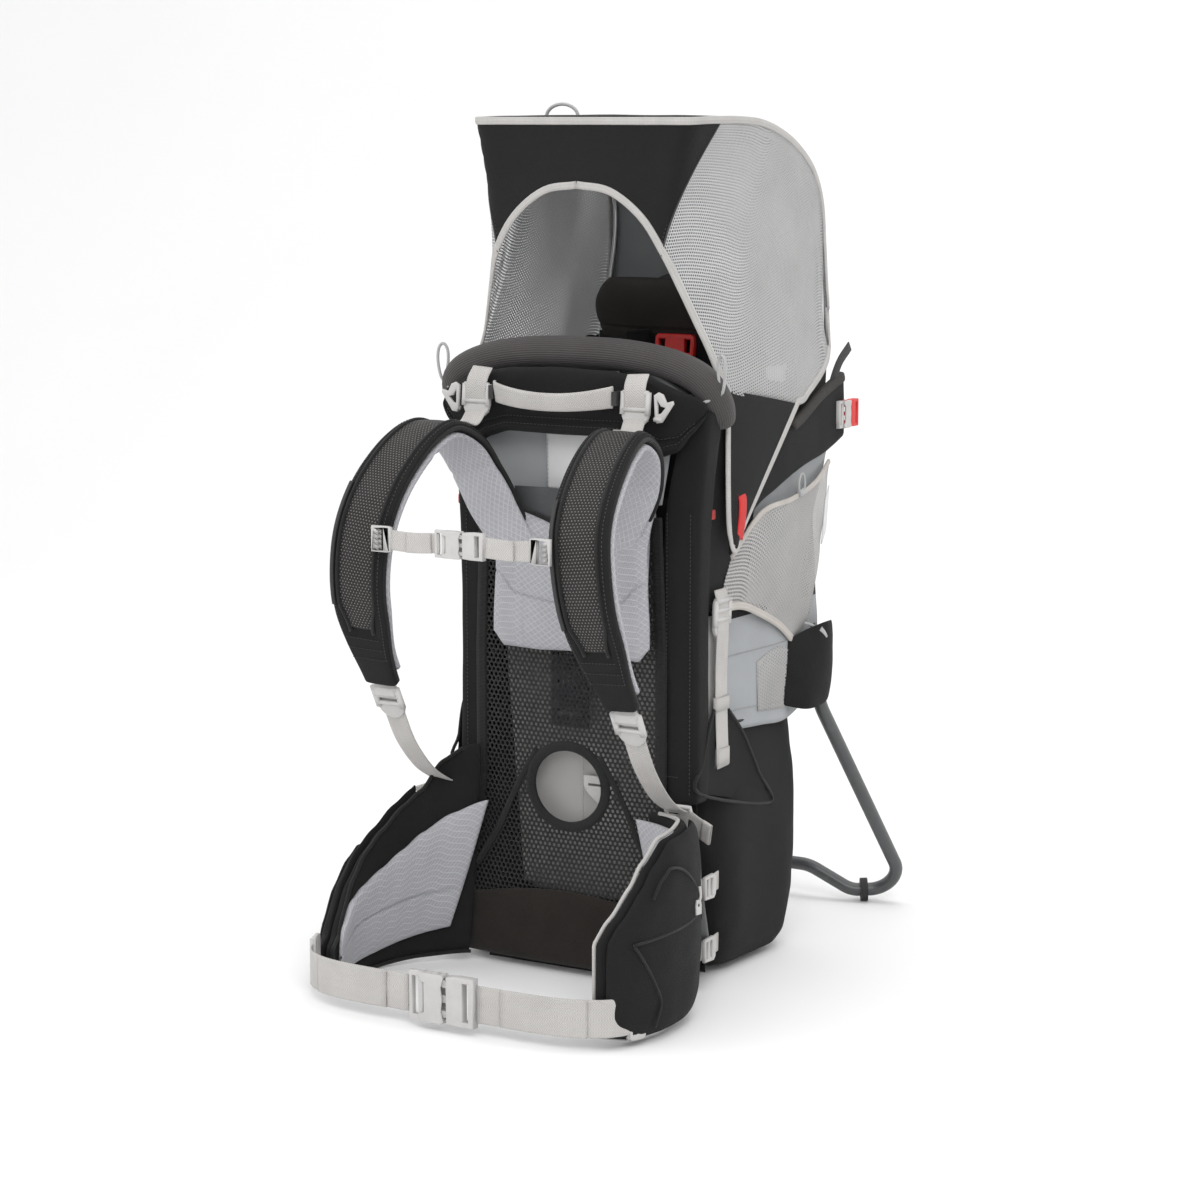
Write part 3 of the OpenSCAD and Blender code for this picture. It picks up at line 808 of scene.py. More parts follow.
def tape(line, into, width):
    """Flat tape folded over an edge: it lies along the line, and reaches into the cloth."""
    frames = []
    for (p, t), a in zip(zip(line, tangents(line)), into):
        a = (a - t * a.dot(t)).normalized()
        frames.append((p + a * (width / 2 - 1), a, t.cross(a)))
    return frames


def hood_bindings():
    steps = 6
    top = [hood_edge(0, k / steps) for k in range(-HOOD_END * steps, HOOD_END * steps + 1)]
    into = [(hood_edge(1, k / steps) - hood_edge(0, k / steps)).normalized()
            for k in range(-HOOD_END * steps, HOOD_END * steps + 1)]
    into[0], into[-1] = into[1], into[-2]
    Form().sweep(tape(top, into, 8), oval(4, 1.6, 3, 12)).piece(
        "hood_top_binding", "sunshade", "pale_webbing", BINDING)
    for name, side in SIDES.items():
        arch = [hood_edge(1, k / steps) for k in range(TAIL_FRONT * steps)]
        arch_in = [(hood_edge(0, k / steps) - hood_edge(1, k / steps)).normalized()
                   for k in range(TAIL_FRONT * steps)]
        tail, tail_in = hood_tail_line()
        back = [hood_edge(1, k / steps) for k in range(TAIL_REAR * steps + 1, HOOD_END * steps + 1)]
        back.append(hood_edge(0, HOOD_END) + Z_AXIS * 2)
        back_in = [Vector((0, -0.6, 0.8))] * len(back)
        line = [side_of(p, side) for p in arch + tail + back]
        into = [side_of(v, side) for v in arch_in + tail_in + back_in]
        Form().sweep(tape(line, into, 8), oval(4, 1.7, 3, 12)).piece(
            f"hood_binding_{name}", "sunshade", "pale_webbing", BINDING)
    seam = Form()
    for side in SIDES.values():
        line = [hood_point(side * SEAM_AT, k / 40) for k in range(41)]
        seam.cord([p + Vector((0, -0.8, 0)) for p in line], 0.9)
        seam.stitches([p + Vector((-side * 3, -1.2, 0)) for p in line], Vector((0, -1, 0)))
    seam.piece("hood_seams", "sunshade", "black_fabric", THREAD)


def hood_curtain():
    """Loose rear curtain: fixed to the hood above and to the pack below."""
    low = both_sides([(140, 298, 638), (128, 292, 628), (66, 290, 618)], (0, 290, 616))
    high = both_sides([(136, 300, 684), (120, 301, 684), (60, 302, 686)], (0, 303, 687))
    rows = rows_of(ruled(low, high), 88, 18, lambda u, v, p: 1.8 * math.sin(u * 46) * math.sin(math.pi * v)
                   + 1.5 * wander(p, 30, 8))
    Form().sheet(rows).piece("hood_curtain", ("pack", "sunshade", (0, 291, 624), (0, 301, 682)),
                             "grey_mesh", LINING, ["shade_rear"], thick=1.0)


def hood_wire():
    wire = [(138, 283, 640), (134, 293, 690), (127, 297, 756), (125, 291, 800), (126, 267, 830),
            (127, 230, 852), (127, 192, 866), (126, 110, 879), (119, 16, 880), (96, 12, 880)]
    line = smooth(wire, 8) + smooth([flip(p) for p in wire[::-1]], 8)
    Form().cord(line, 2.6).piece("hood_wire", "sunshade", "pin_steel", STEEL, ["shade_hoop"])


def hood_cords():
    form = Form()
    for side in SIDES.values():
        loop = []
        for k in range(24):
            a = 2 * math.pi * k / 24
            wide = 6.5 * math.sin(a) * (0.55 + 0.45 * (0.5 - 0.5 * math.cos(a)))
            loop.append(Vector((side * (166 + wide), 4 - 0.4 * wide, 634 - 19 * math.cos(a))))
        form.hoop(loop, 1.6)
        form.cord(smooth([(side * 166, 4, 615), (side * 160, 20, 611), (side * 152, 40, 608)]), 1.7)
        form.cord(smooth([(side * 166, 4, 614), (side * 150, -4, 606), (side * 139, -2, 602)]), 1.7)
    knot = [Vector((-42 + 19 * math.cos(a), 42, ROOF_Z + 1 + 13 * math.sin(a)))
            for a in [math.pi * k / 14 for k in range(15)]]
    form.cord(knot, 1.8)
    form.piece("hood_cords", "sunshade", "pale_webbing", CORD, ["corner_loops"])


# ------------------------------------------------------------------ bar, top panel, handle

BAR_HALF = [(148, 34, 583), (155, 19, 600), (150, 10, 618), (132, 9, 632), (97, 10, 643), (50, 10, 649)]
BAR_LINE = smooth(BAR_HALF + [(0, 10, 650)] + [flip(p) for p in BAR_HALF[::-1]], 8)
BAR_RADIUS = 16


def bar_foam():
    line = even(BAR_LINE, 90)
    def section(share):
        end = min(share, 1 - share) * 90
        radius = BAR_RADIUS * math.sqrt(min(1.0, (end + 0.3) / 2.2))
        return oval(radius, radius, 2.3, 28)
    Form().sweep(carried_frames(line), section).piece(
        "bar_foam", "pack", "dark_foam", FOAM, ["front_pad"])


def top_edge(x):
    """Height of the bar's lower side at x."""
    return curve_by(abs(x), [(0, 637), (60, 635), (100, 629), (141, 614), (156, 606)])


def top_low(x):
    """Height of the top panel's lower fold at x."""
    return curve_by(abs(x), [(0, 568), (66, 569), (90, 562), (110, 550), (128, 556), (144, 576),
                             (156, 592)])


def top_panel():
    def place(u, v):
        x = mix(-156, 156, u)
        bow = -26 + 18 * (abs(x) / 156) ** 3
        return Vector((x, bow, mix(top_low(x), top_edge(x), v)))
    def front(u, v):
        fold = 3.5 * bump(v, 0.06, 0.12)
        hem = -1.6 * bump(v, 0.2, 0.05)
        return crown(u, v, 6, 8) + fold + hem + 1.0 * wander(place(u, v), 30, 2)
    Form().pad(place, 90, 26, lambda u, v: front(u, v), lambda u, v: crown(u, v, 7, 8)).piece(
        "top_panel_cloth", "pack", "black_fabric", BLACK, ["top_panel"], levels=1)
    form = Form()
    for v in (0.14, 0.25):
        line = []
        for k in range(91):
            p, n = place_normal(place, 0.03 + 0.94 * k / 90, v)
            line.append(p + n * (front(0.03 + 0.94 * k / 90, v) + 0.3))
        form.stitches(line, Vector((0, -1, 0)))
    form.piece("top_panel_stitches", "pack", "black_fabric", THREAD)


def inner_window():
    """Light lining seen below the top panel, with a blank sewn label."""
    place = ruled([(-104, -6, 500), (-50, 2, 496), (0, 4, 494), (50, 2, 496), (104, -6, 500)],
                  [(-118, -4, 592), (-60, 4, 600), (0, 6, 602), (60, 4, 600), (118, -4, 592)])
    rows = rows_of(place, 50, 20, lambda u, v, p: 1.5 * wander(p, 40, 4))
    Form().sheet(rows).piece("inner_window", "pack", "pale_liner", LINING, thick=1.2)
    label = ruled([(-34, -2, 508), (34, -2, 508)], [(-36, -1, 568), (36, -1, 568)])
    Form().sheet(rows_of(label, 24, 20, lambda u, v, p: 0.8 * wander(p, 30, 9))).piece(
        "blank_label", "pack", "pale_liner", LABEL, thick=0.5)
    lines = Form()
    for x in (-33, 33):
        lines.stitches([Vector((x, -3.2, z)) for z in range(510, 566, 4)], Vector((0, -1, 0)))
    lines.stitches([Vector((x, -3.2, 510)) for x in range(-33, 34, 3)], Vector((0, -1, 0)))
    lines.piece("label_stitches", "pack", "pale_liner", PALE_THREAD)


def handle():
    line = []
    for k in range(41):
        a = math.pi * (k / 40 - 0.5)
        line.append(Vector((69 * math.sin(a), -46 - 13 * math.cos(a), 611 - 7 * math.cos(a) ** 2)))
    def section(t):
        return oval(11.5 - 2.0 * bump(t, 0.5, 0.5), 1.5 + 1.4 * bump(t, 0.5, 0.45), 4, 16)
    Form().sweep(cross_frames(line, Vector((0, -0.25, 1))), section).piece(
        "handle_web", "handle", "pale_webbing", PALE_WEB, ["grab_handle"])


def rounded_rect(x0, x1, y0, y1, r, steps=4):
    out = []
    corners = ((x1 - r, y1 - r), (x0 + r, y1 - r), (x0 + r, y0 + r), (x1 - r, y0 + r))
    for quarter, (cx, cy) in enumerate(corners):
        for k in range(steps + 1):
            a = math.pi / 2 * (quarter + k / steps)
            out.append((cx + r * math.cos(a), cy + r * math.sin(a)))
    return out


def ladderlock_form(form, place, w=33, h=34):
    """Ladderlock: a frame with bars, and a tongue below to lift. place sets its middle, x across."""
    half = w / 2
    shoulder, top = -h * 0.18, h / 2
    tongue = [(half - 1, shoulder), (half - 1, top - 4), (half - 5, top), (5 - half, top),
              (1 - half, top - 4), (1 - half, shoulder)]
    tongue += [(-half * 0.95 * math.cos(a), shoulder - h * 0.42 * math.sin(a))
               for a in [math.pi * k / 12 for k in range(1, 12)]]
    slots = [rounded_rect(4 - half, half - 4, h * low, h * high, 1.5)
             for low, high in ((0.20, 0.36), (-0.02, 0.13))]
    form.plate([tongue] + slots, 5, 1.4, place)
    for y, r in ((h * 0.42, 2.6), (h * 0.165, 2.2), (-h * 0.07, 2.6)):
        bar = [place @ Vector((x, y, 2.2)) for x in (-half + 2, 0, half - 2)]
        form.cord(bar, r)
    for x in (-half + 2.2, half - 2.2):
        rail = [place @ Vector((x, y, 1.5)) for y in (-h * 0.22, 0, h * 0.45)]
        form.sweep(carried_frames(rail), oval(2.6, 3.4, 3, 10))


def facing(centre, across, up):
    """Matrix whose local x is across, y is up and z points out of the plate."""
    x = Vector(across).normalized()
    y = (Vector(up) - x * Vector(up).dot(x)).normalized()
    z = x.cross(y)
    return Matrix.Translation(Vector(centre)) @ Matrix((x, y, z)).transposed().to_4x4()


def frame_ladderlocks():
    """The load lifters' ladderlocks on the top panel, and the stirrups' on the sides."""
    locks, webs = Form(), Form()
    for side in SIDES.values():
        ladderlock_form(locks, facing((side * 94, -42, 602), (1, 0, 0), (0, 0.1, 1)), 33, 34)
        ladderlock_form(locks, facing((side * 149, 37, 384), (0, side, 0), (0.04 * side, 0, 1)), 33, 40)
        web = mirrored_curve([(92, -34, 634), (93, -42, 624), (94, -45, 612), (94, -44, 596),
                              (94, -39, 588)], side)
        webs.band(web, X_AXIS, 12.5)
    locks.piece("frame_ladderlocks_shaped", "pack", "pale_plastic", PALE_PLASTIC, ["frame_ladderlocks"])
    webs.piece("top_webs", "pack", "pale_webbing", PALE_WEB)


def load_lifters():
    lifters = Form()
    for side in SIDES.values():
        line = mirrored_curve([(94, -40, 600), (94, -46, 588), (96, -58, 577), (99, -74, 581)], side)
        lifters.band(line, X_AXIS, 12.5, 0.95)
    lifters.piece("load_lifter_webs", ("pack", "shoulder_harness", (0, 0, 596), (0, 0, 576)),
                  "pale_webbing", PALE_WEB, ["load_lifters"])


def stow_hooks():
    hooks = Form()
    for side in SIDES.values():
        outline = [(0, -15), (6, -14), (19, 5), (18, 8), (11, 6), (7, 14), (2, 16), (-3, 13), (-2, -10)]
        hole = [(1, -6), (5, -5), (10, 1), (5, 2), (1, 8)]
        place = facing((side * 118, -42, 602), (side, 0, 0), Z_AXIS)
        hooks.plate([outline, hole], 4.4, 1.3, place)
        hooks.cord([place @ Vector((x, -11, 2)) for x in (-2, 2, 6)], 2.4)
    hooks.piece("stow_hooks_shaped", "pack", "pale_plastic", PALE_PLASTIC, ["stow_hooks"])


# ------------------------------------------------------------------ wearer's back

def upright_sleeves():
    """Padded cloth round each upright, from the hip up to the bar."""
    for name, side in SIDES.items():
        line = smooth([(129, 4, 192), (127, 4, 260), (126, 4, 350), (127, 4, 440), (130, 5, 500),
                       (138, 8, 560), (143, 10, 600)], 8)
        inset = 0 if side > 0 else 6
        line = [side_of(p - X_AXIS * inset * (1 - bump(p.z, 600, 120)), side) for p in even(line, 60)]
        def section(t):
            wide = 22 - inset * 0.7 - 5 * bump(t, 1.0, 0.3) - 3 * bump(t, 0.0, 0.1)
            deep = 15.5 - 2 * bump(t, 0.0, 0.08) + 1.0 * bump(t, 1.0, 0.2)
            return [(x, y + 0.8 * wander((x, y, t * 400), 26, side * 3.0))
                    for x, y in oval(wide, deep, 4.5, 24)]
        Form().sweep(cross_frames(line, X_AXIS), section).piece(
            f"upright_sleeve_{name}", "pack", "black_fabric", BLACK, levels=1)
    seams = Form()
    for side in SIDES.values():
        for x in (113, 140 if side > 0 else 128):
            seams.stitches([Vector((side * x, -11.6, z)) for z in range(205, 500, 5)], Vector((0, -1, 0)))
        seams.stitches([Vector((side * x, -11.6, 222)) for x in range(113, 130, 3)], Vector((0, -1, 0)))
    seams.piece("sleeve_stitches", "pack", "black_fabric", THREAD)


# Middle height and half sizes of the opening in the back panel.
HOLE_Z, HOLE_W, HOLE_H = 200, 43, 41


def back_half_width(z):
    """Half width of the back panel's net at height z."""
    return 108 + 42 * max(0.0, (210 - z) / 196) ** 1.4 - 6 * max(0.0, (z - 340) / 160)


def back_depth(x, z):
    """How far forward the tensioned net stands at (x, z)."""
    return -18.6 - 7 * bump(z, 60, 90) + 7 * (abs(x) / 130) ** 2.2


def back_net():
    """Net with an oval opening: rings run from the opening out to the panel's edge."""
    rings, spokes, layers = [], 120, 34
    for i in range(layers + 1):
        t = i / layers
        ring = []
        for k in range(spokes):
            a = 2 * math.pi * k / spokes
            c, s = math.cos(a), math.sin(a)
            inner = Vector((HOLE_W * c, 0, HOLE_Z + HOLE_H * s))
            reach = 400.0
            while reach > 10:
                x, z = c * reach, HOLE_Z + s * reach
                if 16 < z < 500 and abs(x) < back_half_width(z):
                    break
                reach -= 1.0
            outer = Vector((c * reach, 0, HOLE_Z + s * reach))
            p = mix(inner, outer, t)
            p.y = back_depth(p.x, p.z)
            ring.append(p)
        rings.append(ring)
    form = Form()
    for ring in rings:
        form.points += ring
    for i in range(layers):
        for k in range(spokes):
            k2 = (k + 1) % spokes
            ids = (i * spokes + k, i * spokes + k2, (i + 1) * spokes + k2, (i + 1) * spokes + k)
            form.faces.append(ids)
            form.corners += [(form.points[j].x, form.points[j].z) for j in ids]
            form.kinds.append(0)
    form.piece("back_net", "pack", "back_mesh", BACK_NET, ["back_panel"], thick=1.2)


def back_trim():
    form = Form()
    line = []
    for k in range(64):
        a = 2 * math.pi * k / 64
        x, z = (HOLE_W + 2) * math.cos(a), HOLE_Z + (HOLE_H + 2) * math.sin(a)
        line.append(Vector((x, back_depth(x, z) - 0.5, z)))
    closed = line + [line[0], line[1]]
    outward = [Vector((p.x, 0, p.z - HOLE_Z)).normalized() for p in closed]
    frames = cross_frames(closed, outward)[1:]
    rings = [[p + a * x + n * y for x, y in oval(5.5, 2.2, 3, 12)] for p, a, n in frames]
    rings[-1] = rings[0]
    form.loft(rings, caps=False)
    for side in SIDES.values():
        edge = [Vector((side * back_half_width(z), back_depth(back_half_width(z), z) - 0.5, z))
                for z in range(20, 500, 12)]
        form.band(edge, X_AXIS, 6.5, 2.2, 3)
        dart = smooth([(side * 38, 0, 236), (side * 62, 0, 196), (side * 84, 0, 150), (side * 112, 0, 104)])
        dart = [Vector((p.x, back_depth(p.x, p.z) - 1.2, p.z)) for p in dart]
        form.band(dart, Vector((1, 0, 0.6 * side)), 3.2, 1.1, 3, 10)
    form.piece("back_trim", "pack", "black_fabric", DARK_BINDING)


def back_sheets():
    """Light sheet behind the net, and the pocket seen through the opening."""
    place = ruled([(-62, -4, 88), (-30, 4, 80), (20, 6, 78), (70, 4, 80), (108, -4, 88)],
                  [(-96, -6, 500), (-50, 4, 500), (0, 6, 500), (50, 4, 500), (96, -6, 500)])
    rows = rows_of(place, 40, 50, lambda u, v, p: 3 * wander(p, 60, 6))
    Form().sheet(rows).piece("back_sheet", "pack", "pale_liner", WARM_LINING, thick=1.2)
    dark = ruled([(-150, 6, 16), (-60, 14, 14), (60, 14, 14), (150, 6, 16)],
                 [(-118, 6, 505), (-60, 14, 505), (60, 14, 505), (118, 6, 505)])
    Form().sheet(rows_of(dark, 40, 50, lambda u, v, p: 2 * wander(p, 60, 2))).piece(
        "back_dark_sheet", "pack", "black_fabric", BLACK_SOFT, thick=1.2)
    seam = Form()
    seam.stitches([Vector((6, 2.5, z)) for z in range(150, 250, 4)], Vector((0, -1, 0)))
    seam.stitches([Vector((x, 2.5, 232)) for x in range(-44, 46, 4)], Vector((0, -1, 0)))
    seam.piece("back_sheet_stitches", "pack", "pale_liner", PALE_THREAD)
    tab = Form()
    place = facing((26, 0, 196), (1, 0, 0), (0, 0, 1))
    outline = [(-18, 14), (16, 14), (19, 11), (19, -14), (16, -17), (2, -17), (-12, -6), (-18, 2)]
    slot = [(-12, 3), (8, 3), (8, 5.5), (-12, 5.5)]
    tab.plate([outline, slot], 2.4, 0.8, place)
    tab.piece("back_tab", "pack", "pale_plastic", PALE_PLASTIC)


def lumbar():
    def place(u, v):
        x = mix(-126, 126, u)
        top = 64 + 26 * bump(u, 0.5, 0.75)
        return Vector((x, back_depth(x, 60) - 1.5, mix(10, top, v)))
    front = lambda u, v: crown(u, v, 5, 6) + 0.8 * wander(place(u, v), 25, 1)
    Form().pad(place, 70, 22, front, lambda u, v: crown(u, v, 4, 6)).piece(
        "lumbar_band", "pack", "lumbar_fabric", KNIT, ["lumbar_pad"], levels=1)


def base_cover():
    """Cloth that wraps the frame's foot under the lumbar band."""
    line = [Vector((x, 10, 20)) for x in range(-134, 135, 4)]
    Form().band(line, Y_AXIS, 12.5, 12.5, 2.6, 20).piece(
        "base_cover", "pack", "black_fabric", BLACK_FINE)


# ------------------------------------------------------------------ hip belt

# Each wing bends round an upright axis at (HIP_X, HIP_Y), with radius HIP_R.
HIP_X, HIP_Y, HIP_R = 60, -150, 130
# Upper edges of the wings and of their linings, as (y, z), for each side.
HIP_TOP = {
    1: [(-240, 80), (-236, 100), (-222, 124), (-199, 154), (-186, 174), (-160, 196), (-100, 200),
        (-50, 192), (-10, 184)],
    -1: [(-200, 40), (-177, 50), (-165, 72), (-145, 104), (-123, 130), (-100, 150), (-78, 172),
         (-61, 188), (-46, 218), (-30, 236), (-10, 240)],
}
LINER_TOP = {
    1: [(-240, 70), (-222, 112), (-199, 142), (-186, 160), (-160, 182), (-100, 186), (-50, 180),
        (-10, 176)],
    -1: [(-190, 30), (-181, 40), (-170, 62), (-153, 84), (-133, 96), (-108, 110), (-86, 126),
         (-68, 143), (-47, 163), (-30, 180), (-10, 184)],
}


def hip_top(side, y):
    return curve_by(y, HIP_TOP[side])


def hip_low(y):
    return curve_by(y, [(-260, 22), (-245, 14), (-200, 4), (-120, 3), (-60, 8), (-10, 14)])


def curve_by(x, points):
    """Height at x of the smooth curve through (x, height) points."""
    for i in range(len(points) - 1):
        if x <= points[i + 1][0] or i == len(points) - 2:
            t = (x - points[i][0]) / (points[i + 1][0] - points[i][0])
            t = max(0.0, min(1.0, t))
            return mix(points[i][1], points[i + 1][1], t * t * (3 - 2 * t) * 0.4 + t * 0.6)


def hip_place(side, radius, start, end, top=None, low_in=0.0):
    """Surface round the hip: u runs from the back to the front, v from low to high. start is a pair of
    angles, for the low and the high end of the rear edge."""
    def place(u, v):
        a = math.radians(mix(mix(start[0], start[1], v), end, u))
        y = HIP_Y + radius * math.sin(a)
        high = curve_by(y, (top or HIP_TOP)[side])
        z = mix(hip_low(y) + low_in * (1.4 - u), high, v)
        return Vector((side * (HIP_X + radius * math.cos(a)), y, z))
    return place


# Angles of the front edges, in degrees.
WING_END = {1: -40, -1: -21}
LINER_END = {1: -34, -1: -15}


def hip_wings():
    for name, side in SIDES.items():
        place = hip_place(side, HIP_R, (66, 72), WING_END[side])
        near = lambda u, v: crown(u, v, 6.5, 7) + 0.9 * wander(place(u, v), 32, 2 + side)
        wing = Form().pad(place, 70, 30, near, near)
        wing.piece(f"hip_wing_{name}", "pack", "black_fabric", BLACK,
                   once(side, "hip_wings"), levels=1)
        liner = hip_place(side, HIP_R - 9, (56, 76), LINER_END[side], LINER_TOP, 22)
        def inner(u, v):
            groove = 2.6 * bump(v, 0.30 + 0.35 * u, 0.03) * min(1.0, u * 6)
            return crown(u, v, 6, 5) - groove
        Form().pad(liner, 90, 64, inner, inner).piece(
            f"hip_liner_{name}", "pack", "pale_liner", QUILT, once(side, "hip_liners"))
        rim = [place(0.1 + 0.9 * k / 60, 1.0) for k in range(61)]
        rim += [place(1.0, 1 - k / 10) for k in range(1, 11)]
        rim += [place(1 - k / 60, 0.0) for k in range(1, 61)]
        centre = Vector((side * HIP_X, HIP_Y, 0))
        shift = [p + (Vector((centre.x - p.x, centre.y - p.y, 0)).normalized() * 4.5) for p in rim]
        Form().cord(even(shift, 150), 2.0).piece(
            f"hip_edge_{name}", "pack", "pale_webbing", BINDING if side > 0 else DARK_BINDING)


POCKET_R = HIP_R + 9
CLIP_HEIGHTS = (108, 42)
# Heights of the zip pulls; the left wing lies low.
PULL_Z = {1: 122, -1: 44}
# Lines on the pocket's outer face, as (y, z): the zip round its upper corner, and its front seam.
POCKET_ZIP = [(-196, 172), (-160, 170), (-130, 152), (-106, 128), (-112, 114), (-139, 110), (-183, 107),
              (-218, 104)]
POCKET_SEAM = [(-218, 104), (-206, 84), (-192, 58), (-186, 40), (-194, 18)]


def faces_out(place, side):
    """Whether the surface's normal points away from the wearer."""
    return place_normal(place, 0.5, 0.5)[1].x * side > 0


def on_hip(side, y, z, radius):
    """Point of the pocket's outer face at that y and height, kept below the wing's upper edge."""
    a = math.asin(max(-1.0, min(1.0, (y - HIP_Y) / radius)))
    return Vector((side * (HIP_X + radius * math.cos(a)), y, min(z, hip_top(side, y) - 12)))


def hip_pockets():
    """Outer pockets with their piping, and the webs that hold the wings to the pack."""
    form, trims, tabs = Form(), Form(), Form()
    for side in SIDES.values():
        place = hip_place(side, POCKET_R, (42, 42), WING_END[side] + 3, low_in=6)
        outer = lambda u, v: crown(u, v, 11, 3.4, 0.05) + 1.2 * wander(place(u, v), 24, side)
        inner = lambda u, v: crown(u, v, 3, 4)
        faces = (outer, inner) if faces_out(place, side) else (inner, outer)
        form.pad(place, 50, 40, *faces)
        limit = HIP_Y + POCKET_R * math.sin(math.radians(WING_END[side] + 4))
        for points in (POCKET_ZIP, POCKET_SEAM):
            line = [on_hip(side, max(limit, p.x), p.y, POCKET_R + 10.5)
                    for p in smooth([(y, z, 0) for y, z in points], 8)]
            trims.cord([p for i, p in enumerate(line) if i == 0 or (p - line[i - 1]).length > 0.5], 1.5)
        top = hip_top(side, -96)
        loop = mirrored_curve([(186, -92, top - 46), (190, -94, top - 30), (193, -96, top - 42),
                               (194, -97, top - 62)], side)
        tabs.band(loop, Vector((side * 0.5, 1, 0)), 7, 0.9, 4)
        for z in CLIP_HEIGHTS:
            line = mirrored_curve([(146, -30, z + 2), (152, -14, z), (153, 8, z), (146, 40, z - 2)], side)
            tabs.band(line, Z_AXIS, 10)
    form.piece("hip_pockets_sewn", "pack", "black_fabric", BLACK, ["hip_pockets"], levels=1)
    trims.piece("hip_pocket_piping", "pack", "black_fabric", DARK_BINDING)
    tabs.piece("hip_side_webs", "pack", "pale_webbing", PALE_WEB)


def side_clips():
    clips = Form()
    for side in SIDES.values():
        for z in CLIP_HEIGHTS:
            place = facing((side * 156, 2, z), (0, side, 0), (0, 0, 1))
            outline = [(-11, -12), (8, -13), (12, -9), (12, 9), (8, 13), (-11, 12)]
            clips.plate([outline, rect(-8, -4, -9, 9), rect(1, 5, -9, 9)], 4.6, 1.3, place)
    clips.piece("side_clips", "pack", "pale_plastic", PALE_PLASTIC)


def pocket_pulls():
    for name, side in SIDES.items():
        pull, z = Form(), PULL_Z[side]
        place = facing((side * 211, -122, z), (0.2, side, 0), (0, 0, 1))
        outline = [(-4, -7), (4, -7), (4, 2), (3, 8), (-3, 8), (-4, 2)]
        pull.plate([outline, [(-1.6, 1), (1.6, 1), (1.4, 5), (-1.4, 5)]], 2.4, 0.7, place)
        cord = [(side * 211, -122, z + 4), (side * 213, -121, z + 12), (side * 211, -120, z + 21)]
        pull.cord(smooth(cord), 1.3)
        pull.piece(f"pocket_pull_shaped_{name}", f"pocket_pull_{name}", "pale_plastic", PALE_PLASTIC,
                   [f"pocket_pull_{name}"])


# The belt's web from its adjuster to its buckle, as (x, y), and its height.
BELT = [(193.5, -196), (183, -224), (163, -243), (122, -255), (40, -258)]
BELT_Z = 33


def belt():
    for name, side in SIDES.items():
        line = smooth([(side * x, y, BELT_Z) for x, y in BELT], 10)
        def section(t):
            return [(x, y + 0.35 * math.sin(x * 0.22 + t * 8)) for x, y in oval(19, 1.05, 6, 20)]
        form = Form().sweep(cross_frames(line, Z_AXIS), section)
        fold = [p + (p - Vector((0, -100, BELT_Z))).normalized() * 1.9 for p in line[22:38]]
        form.band(fold, Z_AXIS, 19, 0.9, 6, 20)
        body = "pack" if side < 0 else ("pack", "belt_plug", (150, -246, BELT_Z), (52, -258, BELT_Z))
        form.piece(f"belt_web_{name}", body, "pale_webbing", PALE_WEB, once(side, "belt_webs"))


def buckle(names, bodies, nodes, centre, half, height, thick, plug_look=None, across=(1, 0, 0)):
    """Side-release buckle as (socket, plug). The socket is on the -across side, and the plug's prongs
    reach into it. half is half its length."""
    place = facing(centre, across, Z_AXIS)
    l, h = half, height / 2
    socket = Form()
    shell = [(-l * 0.62, -h), (l * 0.02, -h), (l * 0.1, -h * 0.9), (l * 0.02, -h * 0.5), (l * 0.06, 0),
             (l * 0.02, h * 0.5), (l * 0.1, h * 0.9), (l * 0.02, h), (-l * 0.62, h), (-l * 0.66, h * 0.72),
             (-l * 0.5, h * 0.6), (-l * 0.5, -h * 0.6), (-l * 0.66, -h * 0.72)]
    for z in (-thick / 2 + 1.1, thick / 2 - 1.1):
        socket.plate([shell], 2.2, 0.7, place @ Matrix.Translation((0, 0, z)))
    for s in (-1, 1):
        for x0, x1 in ((-0.62, -0.3), (-0.08, 0.06)):
            wall = rect(l * x0, l * x1, s * h * 0.98, s * h * 0.8)
            socket.plate([wall], thick - 1, 0.6, place)
    frame_line, gap = rect(-l, -l * 0.56, -h, h), rect(-l * 0.9, -l * 0.72, -h * 0.78, h * 0.78)
    socket.plate([frame_line, gap], thick * 0.55, 1.0, place)
    socket.piece(names[0], bodies[0], "pale_plastic", PALE_PLASTIC, [nodes[0]] if nodes[0] else ())
    plug = Form()
    body_line = [(l * 0.16, -h * 0.94), (l * 0.5, -h), (l, -h), (l, h), (l * 0.5, h), (l * 0.16, h * 0.94)]
    gap = rect(l * 0.66, l * 0.84, -h * 0.78, h * 0.78)
    plug.plate([body_line, gap], thick * 0.8, 1.2, place)
    for s in (-1, 1):
        prong = [(l * x, s * h * y) for x, y in (
            (0.2, 0.45), (0.2, 0.72), (-0.1, 0.8), (-0.16, 1.02), (-0.3, 1.0), (-0.5, 0.7), (-0.5, 0.55),
            (-0.2, 0.5))]
        plug.plate([prong], thick * 0.5, 0.9, place)
    guide = [(l * 0.2, -h * 0.16), (l * 0.2, h * 0.16), (-l * 0.45, h * 0.1), (-l * 0.45, -h * 0.1)]
    plug.plate([guide], thick * 0.4, 0.8, place)
    slot, material = plug_look or ("pale_plastic", PALE_PLASTIC)
    plug.piece(names[1], bodies[1], slot, material, [nodes[1]])


